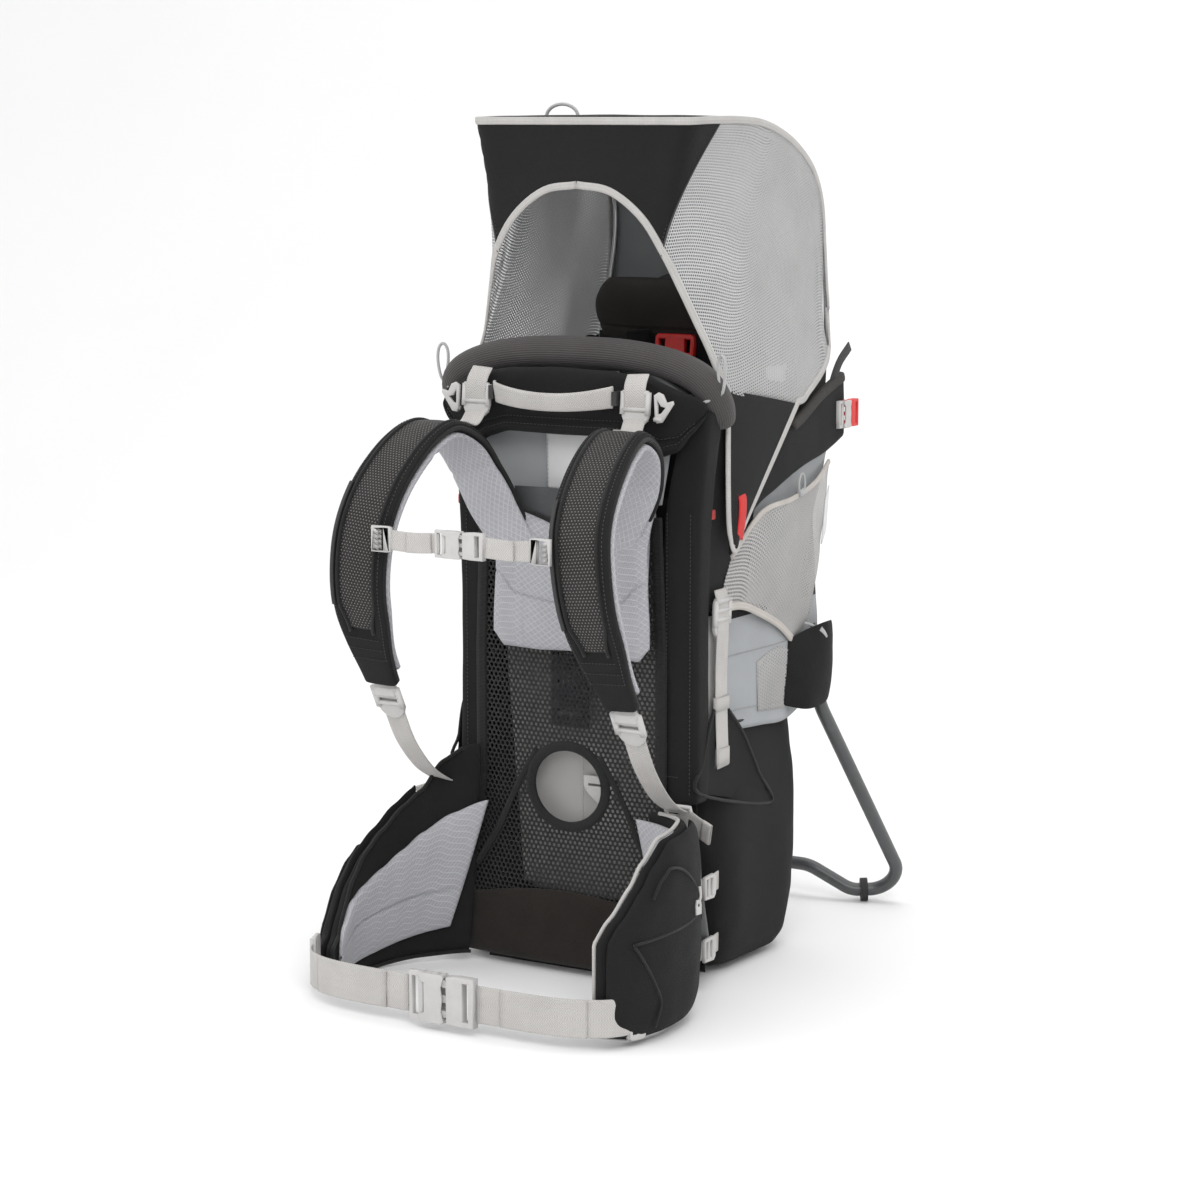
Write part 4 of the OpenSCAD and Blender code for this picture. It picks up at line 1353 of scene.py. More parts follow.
def buckles():
    buckle(("belt_socket_shaped", "belt_plug_shaped"), ("pack", "belt_plug"), ("belt_socket", "belt_plug"),
           (0, -258, BELT_Z), 38, 50, 13)
    buckle(("sternum_socket_shaped", "sternum_plug_shaped"), ("sternum_strap", "sternum_plug"),
           ("sternum_socket", "sternum_plug"), (0, STERNUM_Y, STERNUM_Z), 28, 27, 10)
    for name, side in SIDES.items():
        plug = f"wrap_plug_{name}"
        buckle((f"wrap_socket_{name}", f"wrap_plug_shaped_{name}"), ("pack", plug),
               ("wrap_sockets" if side > 0 else None, plug), (side * 151, 322, 568), 22, 30, 11,
               ("red_plastic", RED_PLASTIC), Y_AXIS)


def belt_adjusters():
    form = Form()
    for side in SIDES.values():
        turn = math.radians(-110)
        across = Vector((side * math.cos(turn), math.sin(turn), 0))
        place = facing((side * 189.75, -206, BELT_Z), across, (0, 0, 1))
        outline = [(-10, -23), (-7, -26), (7, -26), (10, -23), (10, 23), (7, 26), (-7, 26), (-10, 23)]
        holes = [rect(-7, -3, -20, 20), rect(2, 6.5, -20, 20)]
        form.plate([outline] + holes, 4.6, 1.3, place)
        for x in (-9, 0, 9):
            form.cord([place @ Vector((x, y, 1.5)) for y in (-24, 0, 24)], 2.6)
    form.piece("belt_adjusters_shaped", "pack", "pale_plastic", PALE_PLASTIC, ["belt_adjusters"])


# ------------------------------------------------------------------ wearer's harness

# Middle line of the right shoulder strap, from the yoke over the shoulder and down.
STRAP = [(50, -31, 448), (74, -32, 486), (93, -37, 525), (103, -58, 560), (109, -98, 578), (114, -137, 566),
         (119, -176, 535), (123, -200, 500), (128, -208, 462), (133, -203, 415), (138, -180, 365),
         (141, -150, 318)]
STERNUM_Y, STERNUM_Z = -221.5, 478
# Shares of the strap's length between which its mesh window lies.
WINDOW = (0.24, 0.85)
# The soft yoke lies a little to the right.
YOKE_SHIFT = 12


def strap_half_width(t):
    return 27 + 5 * bump(t, 0.6, 0.45) - 8 * bump(t, 1.0, 0.18) - 4 * bump(t, 0.0, 0.12)


def strap_frames(side, lift=0.0, start=0.0, end=1.0, count=80, shift=0.0):
    """Frames along a shoulder strap; lift is outwards, away from the wearer, and shift is sideways."""
    line = even(smooth([side_of(p, side) for p in STRAP], 10), 200)
    line = even(line[int(200 * start):int(200 * end) + 1], count)
    out = []
    for p, a, n in cross_frames(line, X_AXIS):
        out.append((p + n * lift + a * shift * side, a, n))
    return out


def strap_outward():
    """Sign that makes a strap frame's normal point away from the wearer, whatever the side."""
    middle = strap_frames(1)[55]
    return 1 if middle[2].y < 0 else -1


def window_width(t):
    """Half width of the strap's mesh window, which narrows at both ends."""
    share = (t - WINDOW[0]) / (WINDOW[1] - WINDOW[0])
    return strap_half_width(t) * 0.66 * (1 - 0.5 * bump(share, 0, 0.12) - 0.3 * bump(share, 1, 0.1))


def strap_line(side, start, end, count, spot):
    """Line along a strap; spot(t) gives its place across the strap and its lift."""
    out, line, outs = strap_outward(), [], []
    for i, (p, a, n) in enumerate(strap_frames(side, 0, start, end, count)):
        across, lift = spot(mix(start, end, i / count))
        line.append(p + a * across + n * out * lift)
        outs.append(n * out)
    return line, outs


def shoulder_strap(name, side):
    out = strap_outward()
    rings = []
    for i, (p, a, n) in enumerate(strap_frames(side, count=120)):
        t = i / 120
        half = strap_half_width(t)
        deep = 6.0 - 3.0 * bump(t, 0, 0.12)
        ring = []
        for x, y in oval(half, deep, 4.5, 44):
            inside = WINDOW[0] - 0.02 < t < WINDOW[1] + 0.02
            dip = 2.6 * max(0.0, 1 - (abs(x) / (half * 0.64)) ** 8) if inside and y > 0 else 0.0
            ring.append(p + a * x + n * out * (y - dip + 0.4 * wander((x, y, t * 300), 20, side)))
        rings.append(ring)
    Form().loft(rings).piece(f"shoulder_strap_{name}", "shoulder_harness", "black_fabric", BLACK,
                             once(side, "shoulder_straps"), levels=1)
    rows = []
    for i, (p, a, n) in enumerate(strap_frames(side, 0, WINDOW[0], WINDOW[1], 90)):
        half = window_width(mix(WINDOW[0], WINDOW[1], i / 90))
        rows.append([p + a * half * (k / 6 - 1) + n * out * (4.6 + 1.0 * (1 - (k / 6 - 1) ** 2))
                     for k in range(13)])
    Form().sheet(rows).piece(f"strap_window_{name}", "shoulder_harness", "back_mesh", SPACER, thick=0.8)


def strap_trim(name, side):
    trims, stitches = Form(), Form()
    for edge in (-1, 1):
        line, outs = strap_line(side, WINDOW[0] - 0.01, WINDOW[1] + 0.01, 90,
                                lambda t: (edge * window_width(t) * 1.04, 5.8))
        trims.cord(line, 1.8)
        line, outs = strap_line(side, 0.04, 0.99, 110, lambda t: (edge * (strap_half_width(t) - 1), -0.8))
        trims.cord(line, 2.6)
        line, outs = strap_line(side, 0.16, 0.93, 110, lambda t: (edge * strap_half_width(t) * 0.86, 5.4))
        stitches.stitches(line, outs)
    trims.piece(f"strap_piping_{name}", "shoulder_harness", "black_fabric", DARK_BINDING)
    for t in (0.875, 0.90, 0.925):
        row = [strap_line(side, t, t + 0.011, 1, lambda q: (share * 20, 6.3))[0][0]
               for share in (-1, -0.5, 0, 0.5, 1)]
        stitches.stitches(row, Vector((0, -1, 0)))
    stitches.piece(f"strap_stitches_{name}", "shoulder_harness", "black_fabric", THREAD)
    rail, outs = strap_line(side, 0.56, 0.80, 50, lambda t: (-0.86 * strap_half_width(t), 7.2))
    Form().cord(rail, 2.2).piece(f"sternum_rail_{name}", "shoulder_harness", "black_plastic", BLACK_PLASTIC,
                                 once(side, "sternum_rails"))


def strap_liner(name, side):
    """Quilted lining on the wearer's side; its upper end sinks into the yoke."""
    out = strap_outward()
    rings = []
    for i, (p, a, n) in enumerate(strap_frames(side, count=130, end=0.97)):
        t = i / 130
        sunk = bump(t, 0, 0.16)
        groove = 1.8 * (bump(t, 0.2, 0.010) + bump(t, 0.45, 0.010) + bump(t, 0.68, 0.010))
        half = strap_half_width(t) + 1.0
        rings.append([p + a * x - n * out * (9.2 - 3.4 * sunk + y * 1.15 - (groove if y > 0 else 0.0))
                      for x, y in oval(half, 4.2 - 1.4 * sunk, 3.2, 28)])
    Form().loft(rings).piece(f"strap_liner_{name}", "shoulder_harness", "pale_liner", QUILT,
                             once(side, "strap_liners"))


def shoulder_straps():
    for name, side in SIDES.items():
        shoulder_strap(name, side)
        strap_trim(name, side)
        strap_liner(name, side)


def yoke():
    def place(u, v):
        low = curve_by(u, [(0, 360), (0.07, 346), (0.3, 345), (0.5, 347), (0.7, 345), (0.93, 342),
                           (1, 356)])
        high = curve_by(u, [(0, 520), (0.06, 530), (0.16, 488), (0.5, 470), (0.84, 488), (0.94, 532),
                            (1, 524)])
        z = mix(low, high, v)
        half = 93 + 8 * bump(z, 540, 90) - 3 * bump(z, 440, 70)
        x = mix(-half, half, u) + YOKE_SHIFT
        return Vector((x, -31 - 4 * bump(u, 0.5, 0.8) + 6 * bump(v, 1.0, 0.3), z))
    def front(u, v):
        groove = 2.2 * (bump(v, 0.40, 0.018) + 0.8 * bump(v, 0.86, 0.018))
        side_line = 2.0 * bump(u, 0.76, 0.014) + 1.2 * bump(u, 0.22, 0.014)
        return crown(u, v, 8, 6) - groove - side_line * bump(v, 0.2, 0.5)
    Form().pad(place, 100, 70, front, lambda u, v: crown(u, v, 5, 6)).piece(
        "yoke_cushion", "shoulder_harness", "pale_liner", QUILT, ["yoke_pad"])
    edge = Form()
    rim = [place(k / 80, 1) for k in range(81)]
    edge.cord([p + Y_AXIS * 1 for p in rim], 2.6)
    edge.piece("yoke_piping", "shoulder_harness", "black_fabric", DARK_BINDING)


def strap_ends():
    locks, anchors = Form(), Form()
    for name, side in SIDES.items():
        ladderlock_form(locks, facing((side * 142, -137, 298), X_AXIS, (0, -0.47, 0.88)), 33, 38)
        line = mirrored_curve([(142, -141, 312), (142, -136, 300), (142, -128, 284), (142, -108, 250),
                               (141, -78, 218), (139, -50, 200), (138, -30, 192)], side, 8)
        Form().band(line, X_AXIS, 12.5, 0.95, 5, 14).piece(
            f"strap_web_{name}", ("pack", "shoulder_harness", (0, -40, 200), (0, -128, 288)),
            "pale_webbing", PALE_WEB, once(side, "strap_webs"))
        fold = mirrored_curve([(142, -142, 322), (142, -147, 312), (142, -144, 303)], side)
        locks.band(fold, X_AXIS, 12.5, 1.6)
        slider = facing((side * 138, -31, 192), (1, 0, 0), (0, -0.4, 0.9))
        slots = [rect(-13, 13, -5, -1.5), rect(-13, 13, 1.5, 5)]
        anchors.plate([rect(-16, 16, -8, 8)] + slots, 4.2, 1.2, slider)
        tail = mirrored_curve([(138, -30, 190), (148, -29, 184), (160, -30, 178), (176, -33, 172)], side)
        across = Vector((0.2 * side, -0.3, 1))
        tail_form = Form().band(tail, across, 12.5).band(tail[-5:], across, 12.5, 2.0)
        tail_form.piece(f"strap_tail_{name}", "pack", "pale_webbing", PALE_WEB)
    locks.piece("strap_ladderlocks_shaped", "shoulder_harness", "pale_plastic", PALE_PLASTIC,
                ["strap_ladderlocks"])
    anchors.piece("web_sliders", "pack", "pale_plastic", PALE_PLASTIC, ["web_anchors"])


def sternum():
    clips = Form()
    for side in SIDES.values():
        place = facing((side * 93, STERNUM_Y, STERNUM_Z), (side, 0, 0), (0, 0, 1))
        outline = [(-13, -12), (-9, -13), (10, -13), (10, 13), (-9, 13), (-13, 12)]
        slot = rect(-9.5, -6, -10.5, 10.5)
        teeth = [[(2, z), (6, z + 1.5), (6, z + 3.5), (2, z + 2)] for z in (-9.5, -4.5, 0.5, 5.5)]
        clips.plate([outline, slot] + teeth, 5.4, 1.2, place)
    clips.piece("sternum_clips_shaped", "sternum_strap", "pale_plastic", PALE_PLASTIC, ["sternum_clips"])
    for name, side in SIDES.items():
        line = []
        for x in range(23, 87, 3):
            y = STERNUM_Y - 0.5 + 1.5 * bump(x, 60, 30)
            line.append(Vector((side * x, y, STERNUM_Z - 1.5 * bump(x, 58, 30))))
        form = Form().band(line, Z_AXIS, 10, 1.0, 5, 14)
        fold = [p - Y_AXIS * 2.1 for p in line[3:14]]
        form.band(fold, Z_AXIS, 10, 0.9, 5, 14)
        body = "sternum_strap" if side < 0 else (
            "sternum_strap", "sternum_plug", (84, STERNUM_Y, STERNUM_Z), (30, STERNUM_Y, STERNUM_Z))
        form.piece(f"sternum_web_{name}", body, "pale_webbing", PALE_WEB, once(side, "sternum_webs"))


# ------------------------------------------------------------------ sides

def side_wall(name, side):
    wall = ruled(mirrored([(141, 6, 392), (142, 40, 388), (142, 75, 388), (141, 106, 392)], side),
                 mirrored([(143, 2, 618), (147, 40, 616), (148, 90, 612), (147, 130, 606)], side))
    rows = rows_of(wall, 30, 60, lambda u, v, p: 1.6 * wander(p, 34, 7 * side))
    Form().sheet(rows).piece(f"side_wall_{name}", "pack", "black_fabric", BLACK,
                             once(side, "side_walls"), thick=2.4)
    seams = Form()
    seams.stitches([Vector((side * 143.8, 62, z)) for z in range(395, 605, 5)], X_AXIS * side)
    seams.stitches([Vector((side * 142.9, y, 398)) for y in range(10, 100, 4)], X_AXIS * side)
    seams.piece(f"side_stitches_{name}", "pack", "black_fabric", THREAD)


def cockpit_side(name, side):
    """Lining beside the child's legs, dark above and pale grey below."""
    inside = through([mirrored(c, side) for c in (
        [(138, 22, 262), (137, 80, 256), (142, 140, 252), (145, 190, 250), (138, 262, 262)],
        [(139, 30, 345), (138, 80, 345), (143, 140, 345), (144, 190, 345), (140, 276, 345)],
        [(137, 30, 450), (134, 80, 450), (133, 140, 450), (132, 200, 450), (130, 284, 450)],
        [(136, 30, 590), (132, 80, 606), (131, 140, 608), (131, 200, 610), (128, 290, 610)])])
    rows = rows_of(inside, 40, 60, lambda u, v, p: 1.6 * wander(p, 50, 5))
    Form().sheet(rows, kind=lambda i, k: 0 if k < 26 else 1).piece(
        f"cockpit_side_{name}", "pack", "pale_liner", [LINING, BLACK_SOFT], thick=1.4)
    patch = through([mirrored(c, side) for c in (
        [(143.5, 132, 268), (146.5, 180, 264), (146.5, 206, 268)],
        [(143.5, 128, 322), (146.5, 170, 332), (146.5, 206, 322)])])
    Form().sheet(rows_of(patch, 20, 14, lambda u, v, p: 0.8 * wander(p, 26, 3))).piece(
        f"leg_net_{name}", "pack", "grey_mesh", POCKET_NET, thick=0.8)
    seams = Form()
    for z in (330, 262):
        line = [inside(k / 40, 0.08 if z == 262 else 0.30) + X_AXIS * side * 1.4 for k in range(2, 39)]
        seams.stitches(line, X_AXIS * side)
    seams.piece(f"cockpit_stitches_{name}", "pack", "pale_liner", PALE_THREAD)
    strip = through([mirrored(c, side) for c in ([(139.5, 24, 262), (139.5, 44, 260)],
                                                 [(140, 24, 384), (140, 40, 384)])])
    Form().pad(strip, 8, 30, lambda u, v: crown(u, v, 1.6), lambda u, v: crown(u, v, 1.6)).piece(
        f"leg_strip_{name}", "pack", "pale_liner", WARM_LINING)
    rear = through([mirrored(c, side) for c in ([(135, 196, 560), (135, 250, 575), (134, 304, 590)],
                                                [(135, 205, 620), (135, 255, 632), (134, 306, 628)],
                                                [(134, 224, 640), (134, 256, 648), (133, 298, 634)])])
    Form().pad(rear, 24, 20, lambda u, v: crown(u, v, 2), lambda u, v: crown(u, v, 2)).piece(
        f"rear_side_{name}", "pack", "black_fabric", BROWN, levels=1)


def side_wing(name, side):
    """Band from the side to the small rear buckle, with a soft trim along its upper edge."""
    wing = ruled(mirrored([(146, 60, 440), (148, 105, 483), (149, 160, 503), (149, 216, 519),
                           (147, 280, 530), (146, 326, 544)], side),
                 mirrored([(146, 60, 548), (150, 105, 556), (151, 150, 560), (151, 200, 570),
                           (148, 262, 594), (146, 324, 612)], side))
    thick = lambda u, v: crown(u, v, 3.4, 8) + 0.7 * wander(wing(u, v), 30, side)
    Form().pad(wing, 60, 26, thick, thick).piece(
        f"side_wing_{name}", "pack", "black_fabric", BLACK_FINE, once(side, "side_wings"), levels=1)
    trim = [wing(k / 50, 0.97) for k in range(28, 50)]
    Form().band(trim, Z_AXIS, 6, 4.4, 3).piece(
        f"wing_trim_{name}", "pack", "black_fabric", BROWN)
    tag = mirrored_curve([(147, 292, 600), (149, 306, 624), (150, 330, 641)], side)
    Form().band(tag, Z_AXIS, 6, 0.8).piece(
        f"rear_tag_{name}", "pack", "black_fabric", BLACK_WEB)


def side_pocket(name, side):
    pocket = through([mirrored(c, side) for c in (
        [(145, 54, 390), (147, 85, 388), (149, 113, 379), (149, 166, 357), (146, 207, 333)],
        [(145, 52, 412), (150, 90, 420), (154, 135, 418), (154, 190, 400), (145, 256, 372)],
        [(145, 66, 440), (152, 120, 481), (155, 185, 489), (152, 245, 500), (145, 292, 518)])])
    rows = rows_of(pocket, 56, 40, lambda u, v, p: 1.8 * wander(p, 26, 4))
    Form().sheet(rows).piece(f"pocket_net_{name}", "pack", "grey_mesh", POCKET_NET,
                             once(side, "side_pockets"), thick=0.8)
    behind = ruled(mirrored([(141, 56, 398), (142, 150, 378), (142, 205, 348)], side),
                   mirrored([(143, 84, 466), (143, 200, 520), (141, 298, 540)], side))
    Form().sheet(rows_of(behind, 40, 30, lambda u, v, p: 1.2 * wander(p, 40, 2))).piece(
        f"pocket_back_{name}", "pack", "grey_mesh", LINING, thick=1.0)
    low = [pocket(k / 40, 0.0) + X_AXIS * side * 0.5 for k in range(41)]
    high = [pocket(k / 40, 1.0) for k in range(41)]
    rims = Form().band(low, Z_AXIS, 4.2, 1.8, 3)
    rims.band(high, Z_AXIS, 3.0, 1.7, 3)
    rims.piece(f"pocket_binding_{name}", "pack", "pale_webbing", CREAM)
    toggle = Form()
    ring = [Vector((side * 156, 205 + 7 * math.sin(a), 503 + 11 * math.cos(a)))
            for a in [2 * math.pi * k / 20 for k in range(20)]]
    toggle.hoop(ring, 1.3)
    toggle.cord(smooth(mirrored([(156, 197, 493), (157, 204, 494), (156, 211, 495)], side)), 3.8)
    toggle.piece(f"pocket_toggle_{name}", "pack", "pale_plastic", CORD)
    label = ruled(mirrored([(147, 272, 430), (146, 284, 444)], side),
                  mirrored([(147, 280, 478), (146, 291, 492)], side))
    Form().pad(label, 10, 16, lambda u, v: 0.6, lambda u, v: 0.6).piece(
        f"blank_tag_{name}", "pack", "pale_liner", LABEL)


def pivot_flap(name, side):
    """Cloth cover over the stand's pivot, tied down with a cord knob."""
    flap = through([mirrored(c, side) for c in (
        [(146, 184, 266), (165, 207, 260), (167, 246, 262), (152, 282, 266), (142, 300, 272)],
        [(146, 190, 300), (163, 216, 300), (169, 248, 302), (156, 280, 300), (142, 300, 296)],
        [(146, 196, 336), (155, 222, 344), (166, 250, 350), (156, 280, 344), (142, 298, 324)])])
    thick = lambda u, v: crown(u, v, 1.6, 8) + 0.6 * wander(flap(u, v), 18, 3)
    Form().pad(flap, 40, 30, thick, thick).piece(
        f"pivot_flap_{name}", "pack", "black_fabric", BLACK, levels=1)
    knob = Form()
    knob.cord(smooth(mirrored([(150, 226, 350), (157, 232, 347), (163, 240, 341)], side)), 1.5)
    knob.cord(smooth(mirrored([(162, 238, 343), (164, 242, 338), (165, 245, 333)], side), 3), 4.0)
    knob.piece(f"flap_cord_{name}", "pack", "pale_webbing", CORD)


def red_tabs(name, side):
    tab = mirrored_curve([(152, 58, 504), (156, 61, 508), (160, 62, 503), (161, 60, 484),
                          (160, 55, 462)], side)
    form = Form().band(tab, Vector((0, 1, 0.2)), 7.5, 1.1, 4)
    form.band([Vector((side * 147, y, 490)) for y in (4, 14, 26)], Z_AXIS, 5, 1.2, 4)
    form.piece(f"red_tab_{name}", "pack", "red_webbing", RED_WEB, once(side, "pull_tabs"))


def side_cloth():
    for name, side in SIDES.items():
        side_wall(name, side)
        cockpit_side(name, side)
        side_wing(name, side)
        side_pocket(name, side)
        pivot_flap(name, side)
        red_tabs(name, side)


def stirrups():
    for name, side in SIDES.items():
        line = mirrored_curve([(148, 37, 412), (151, 37, 398), (151, 38, 372), (149, 39, 330),
                               (149, 40, 280), (150, 42, 226)], side)
        form = Form().band(line, Y_AXIS, 12.5)
        under = [Vector((side * 146, 40, z)) for z in range(226, 300, 8)]
        form.band(under, Y_AXIS, 12.5, 1.4, kind=1)
        keeper = [Vector((side * 148.5, 40, z)) for z in (286, 293, 300)]
        form.band(keeper, Y_AXIS, 14.5, 3.2)
        form.band([Vector((side * 149.5, 42, z)) for z in (228, 236, 246)], Y_AXIS, 12.5, 2.6)
        loop = ruled(mirrored([(148, 26, 288), (149, 12, 268), (148, 2, 236), (147, -4, 206)], side),
                     mirrored([(148, 54, 286), (150, 86, 254), (150, 122, 206), (147, 154, 166)], side))
        form.sheet(rows_of(loop, 24, 20, lambda u, v, p: 2.5 * math.sin(math.pi * v) * -side), kind=2)
        form.piece(f"stirrup_cloth_{name}", f"stirrup_{name}", "black_webbing",
                   [PALE_WEB, BLACK_WEB, BLACK], [f"stirrup_{name}"])
        edge = Form()
        edge.cord(smooth([loop(0, 0), loop(0.33, 0), loop(0.66, 0), loop(1, 0), loop(1, 1), loop(0.66, 1),
                          loop(0.33, 1), loop(0, 1)], 5), 1.8)
        edge.piece(f"stirrup_edge_{name}", f"stirrup_{name}", "black_webbing", DARK_BINDING)


# ------------------------------------------------------------------ bags

BAG_TOP_Z = 304
BAG_ZIP_Z = 262


def bag_top(y):
    """Height of the bag's top edge, which is lower beside the child's legs."""
    return BAG_TOP_Z - 40 * (1 - bump(y, 260, 110))


def bag_zip_y(x):
    return 244.5 - 6 * (abs(x) / 130) ** 4


def lower_bag():
    """Soft shell that hangs from the frame: rounded level sections that sag and fold. Each level gives its
    height, its front and rear y, and its half width."""
    levels = [(4, 60, 164, 132), (9, 44, 192, 146), (26, 34, 218, 154), (66, 30, 234, 156),
              (120, 29, 240, 153), (180, 28, 243, 149), (240, 28, 245, 143), (285, 29, 246, 138),
              (304, 31, 246, 132)]
    rings = []
    for z, y0, y1 in smooth([(z, y0, y1) for z, y0, y1, w in levels], 5):
        half = curve_by(z, [(lv[0], lv[3]) for lv in levels])
        centre, deep = (y0 + y1) / 2, (y1 - y0) / 2
        ring = []
        for x, y in oval(half, deep, 5.5, 72):
            drop = (BAG_TOP_Z - bag_top(centre + y)) * max(0.0, (z - 200) / 104) ** 1.5
            p = Vector((x, centre + y, z - drop))
            out = Vector((x / half, y / deep, 0)).normalized()
            crease = 2.6 * wander((p.x, p.y * 1.3, p.z * 0.5), 46, 11) + 1.4 * wander(p, 20, 5)
            if abs(x) > half * 0.9:
                crease += 1.5 * math.sin((p.y - p.z * 0.4) / 19)
            ring.append(p + out * (crease - 1.5))
        rings.append(ring)
    Form().loft(rings).piece("lower_bag_cloth", "pack", "black_fabric", BLACK, ["lower_bag"], levels=1)
    trim = Form()
    for side in SIDES.values():
        line = [Vector((side * 137.5, y, bag_top(y) - 1)) for y in range(44, 236, 6)]
        trim.cord(line, 2.2)
    zip_line = [Vector((x, bag_zip_y(x), BAG_ZIP_Z)) for x in range(-118, 119, 4)]
    trim.band(zip_line, Z_AXIS, 9, 1.2, 4)
    trim.piece("bag_trim", "pack", "black_fabric", DARK_BINDING)
    teeth = Form()
    for x in range(-116, 117, 3):
        y = bag_zip_y(x) + 1.4
        tooth = [Vector((x, y + out, BAG_ZIP_Z + up)) for out, up in ((0, -2.4), (0.7, 0), (0, 2.4))]
        teeth.cord(tooth, 0.9, count=6)
    teeth.piece("bag_zip_teeth", "pack", "black_plastic", BLACK_PLASTIC)
    pull = Form()
    place = facing((0, 248.5, 254), (-1, 0, 0), (0, 0, 1))
    outline = [(-5, 12), (5, 12), (6, 2), (3.5, -2), (3.5, -16), (0, -19), (-3.5, -16), (-3.5, -2), (-6, 2)]
    pull.plate([outline, rect(-1.6, 1.6, -6, -13)], 2.6, 0.8, place)
    pull.piece("bag_zip_pull_shaped", "bag_zip_pull", "pale_plastic", PALE_PLASTIC, ["bag_zip_pull"])


def rear_pocket():
    """Pouch behind the child's back, which bulges and is held by a gathered top edge."""
    place = ruled([(-100, 268, 352), (-50, 280, 350), (0, 284, 350), (50, 280, 350), (100, 268, 352)],
                  [(-104, 266, 604), (-50, 272, 608), (0, 274, 608), (50, 272, 608), (104, 266, 604)])
    def out(u, v):
        return crown(u, v, 30, 2.4, 0.1) * (0.75 + 0.4 * (1 - v)) + 2 * wander(place(u, v), 36, 13)
    inner = lambda u, v: crown(u, v, 8, 3)
    sign = 1 if place_normal(place, 0.5, 0.5)[1].y > 0 else -1
    front, back = (out, inner) if sign > 0 else (inner, out)
    Form().pad(place, 60, 60, front, back).piece(
        "rear_pocket_cloth", "pack", "black_fabric", BLACK, ["rear_pocket"], levels=1)
    form = Form()
    for v in (0.08, 0.86):
        line = []
        for k in range(51):
            u = 0.04 + 0.92 * k / 50
            p, n = place_normal(place, u, v)
            line.append(p + n * sign * (out(u, v) + 0.5))
        form.cord(line, 1.8)
    form.piece("rear_pocket_piping", "pack", "black_fabric", DARK_BINDING)


# ------------------------------------------------------------------ child's seat

PUFF_FRAMES = 20


def puff(made, voxel, pressure, cap):
    """Swells a closed mesh as sewn cloth over foam, by cap at most."""
    remesh = made.modifiers.new("remesh", "REMESH")
    remesh.mode, remesh.voxel_size = "VOXEL", voxel * MM
    apply_modifiers(made)
    start = [v.co.copy() for v in made.data.vertices]
    cloth = made.modifiers.new("cloth", "CLOTH")
    cloth.settings.use_pressure = True
    cloth.settings.uniform_pressure_force = pressure
    cloth.settings.effector_weights.gravity = 0
    cloth.settings.quality = 4
    cloth.point_cache.frame_start, cloth.point_cache.frame_end = 1, PUFF_FRAMES
    for step in range(1, PUFF_FRAMES + 1):
        SCENE.frame_set(step)
    apply_modifiers(made)
    for vertex, old in zip(made.data.vertices, start):
        move = vertex.co - old
        if move.length > cap * MM:
            vertex.co = old + move.normalized() * cap * MM
    SCENE.frame_set(1)
    made.data.polygons.foreach_set("use_smooth", [True] * len(made.data.polygons))


def apply_modifiers(made):
    graph = bpy.context.evaluated_depsgraph_get()
    mesh = bpy.data.meshes.new_from_object(made.evaluated_get(graph))
    made.modifiers.clear()
    made.data = mesh


def back_cushion():
    def place(u, v):
        half = 98 - 8 * bump(v, 0.0, 0.3) - 30 * max(0.0, (v - 0.8) / 0.2) ** 2.2
        return Vector((mix(-half, half, u), 247, mix(352, 668, v)))
    def soft(u, v):
        channel = 2.5 * (bump(v, 0.28, 0.02) + bump(v, 0.5, 0.02) + bump(v, 0.72, 0.02))
        return crown(u, v, 10, 4) - channel
    cushion = Form().pad(place, 50, 80, soft, soft).piece(
        "back_cushion_soft", "pack", "black_fabric", BLACK_SOFT, ["back_cushion"])
    puff(cushion, 6, 3.0, 6)


def head_rest():
    def place(u, v):
        half = 100 - 46 * v ** 3
        return Vector((mix(-half, half, u), mix(236, 158, v), mix(634, 718, v ** 0.8)))
    front = lambda u, v: crown(u, v, 10, 3.2) - 2 * bump(v, 0.3, 0.03)
    Form().pad(place, 50, 30, front, lambda u, v: crown(u, v, 9, 3.2)).piece(
        "head_rest", "child_straps", "black_fabric", BROWN, levels=1)


def seat_cushion():
    place = lambda u, v: Vector((mix(-90, 90, u), mix(68, 226, v), 335))
    Form().pad(place, 36, 36, lambda u, v: crown(u, v, 10, 4), lambda u, v: crown(u, v, 8, 4)).piece(
        "seat_cushion", "seat", "black_fabric", BLACK_SOFT, ["child_seat"], levels=1)


def child_harness():
    straps = Form()
    for side in SIDES.values():
        line = mirrored_curve([(42, 230, 432), (42, 222, 500), (42, 216, 570), (42, 209, 636),
                               (44, 204, 660)], side, 8)
        straps.band(line, X_AXIS, 16, 4.2, 4, 18)
    straps.piece("child_harness_pads", "child_straps", "black_fabric", BLACK_SOFT, ["child_harness"],
                 levels=1)


def chest_buckle():
    clip = Form()
    place = facing((4, 202, 644), X_AXIS, (0, 0.1, 1))
    outline = [(-24, -10), (-20, -13), (20, -13), (24, -10), (24, 10), (20, 13), (-20, 13), (-24, 10)]
    clip.plate([outline, rect(-19, -12, -7, 7), rect(12, 19, -7, 7)], 8, 1.6, place)
    clip.piece("chest_buckle_shaped", "child_straps", "red_plastic", RED_PLASTIC, ["chest_buckle"])


# ------------------------------------------------------------------ floor, light and camera

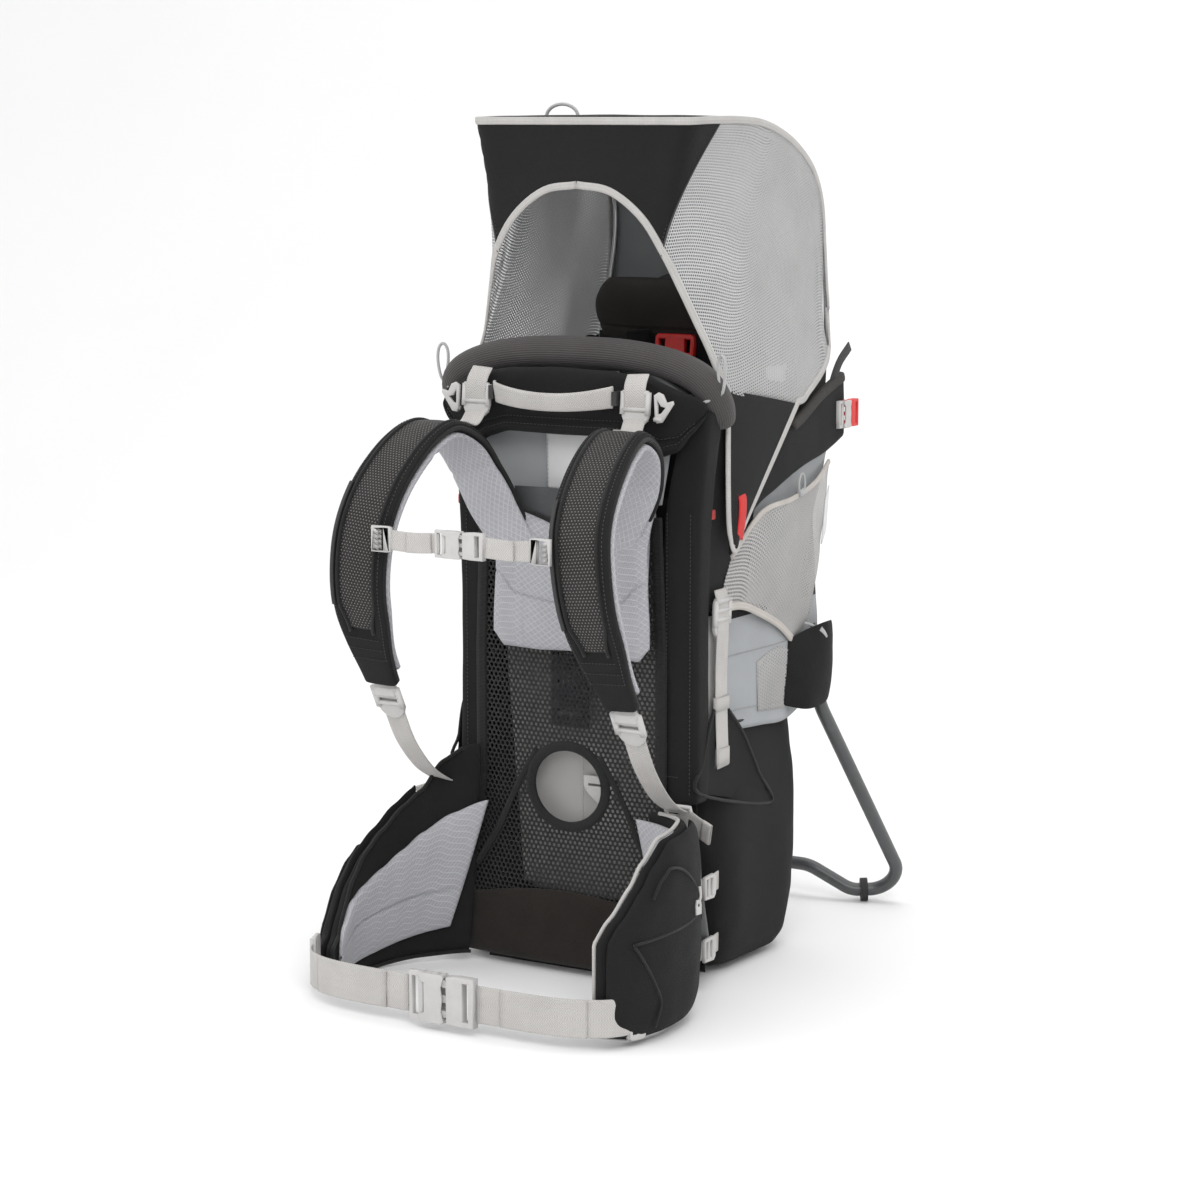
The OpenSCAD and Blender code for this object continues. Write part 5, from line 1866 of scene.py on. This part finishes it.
def stage_floor():
    size, wall_y, rise = 6.0, 3.2, 4.0
    mesh = bpy.data.meshes.new("floor")
    profile = [(-size, 0.0), (wall_y - 1.5, 0.0)]
    for k in range(1, 13):
        a = math.pi / 2 * k / 12
        profile.append((wall_y - 1.5 + 1.5 * math.sin(a), 1.5 - 1.5 * math.cos(a)))
    profile.append((wall_y, rise))
    points = [(x, y, z) for y, z in profile for x in (-size, size)]
    faces = [(2 * i, 2 * i + 1, 2 * i + 3, 2 * i + 2) for i in range(len(profile) - 1)]
    mesh.from_pydata(points, [], faces)
    mesh.polygons.foreach_set("use_smooth", [True] * len(faces))
    s = Shader("studio_floor")
    soft = s.noise(0.8, 2)
    mesh.materials.append(s.surface(s.colour(soft, grey(0.86), grey(0.90)), 0.9, specular=0.1))
    floor = bpy.data.objects.new("floor", mesh)
    SCENE.collection.objects.link(floor)


def soft_light(name, place, power, size, target=(0, 0.05, 0.45)):
    light = bpy.data.lights.new(name, "AREA")
    light.energy, light.size = power, size
    made = bpy.data.objects.new(name, light)
    made.location = Vector(place)
    made.rotation_euler = (Vector(target) - made.location).to_track_quat("-Z", "Y").to_euler()
    SCENE.collection.objects.link(made)


def studio():
    stage_floor()
    world = bpy.data.worlds.new("studio")
    world.use_nodes = True
    world.node_tree.nodes["Background"].inputs[0].default_value = (1, 1, 1, 1)
    world.node_tree.nodes["Background"].inputs[1].default_value = 1.0
    SCENE.world = world
    SCENE.view_settings.view_transform = "Standard"
    soft_light("key", (1.6, -2.2, 2.4), 36, 1.6)
    soft_light("fill", (-2.4, -1.6, 1.6), 16, 2.4)
    soft_light("top", (0.2, 0.6, 2.8), 20, 2.2)
    place_camera()


# Where the camera stands, in metres, and how far it turns to its left and looks down, in degrees.
CAMERA_PLACE = (1.5926, -2.6708, 0.8917)
CAMERA_HEADING, CAMERA_PITCH = 30.369, 9.0975
LENS, SENSOR = 91.2, 36


def place_camera():
    camera = bpy.data.cameras.new("camera")
    camera.lens, camera.sensor_width = LENS, SENSOR
    camera.clip_end = 50
    made = bpy.data.objects.new("camera", camera)
    heading, pitch = math.radians(CAMERA_HEADING), math.radians(CAMERA_PITCH)
    made.location = CAMERA_PLACE
    level = math.cos(pitch)
    ahead = Vector((-math.sin(heading) * level, math.cos(heading) * level, -math.sin(pitch)))
    made.rotation_euler = ahead.to_track_quat("-Z", "Y").to_euler()
    SCENE.collection.objects.link(made)
    SCENE.camera = made


finish_nodes()
hood_panels()
hood_roof()
for hood_name, hood_side in SIDES.items():
    hood_tail(hood_name, hood_side)
hood_bindings()
hood_curtain()
hood_wire()
hood_cords()
bar_foam()
top_panel()
inner_window()
handle()
frame_ladderlocks()
load_lifters()
stow_hooks()
upright_sleeves()
back_net()
back_trim()
back_sheets()
lumbar()
base_cover()
hip_wings()
hip_pockets()
side_clips()
pocket_pulls()
belt()
buckles()
belt_adjusters()
shoulder_straps()
yoke()
strap_ends()
sternum()
side_cloth()
stirrups()
lower_bag()
rear_pocket()
back_cushion()
head_rest()
seat_cushion()
child_harness()
chest_buckle()
studio()
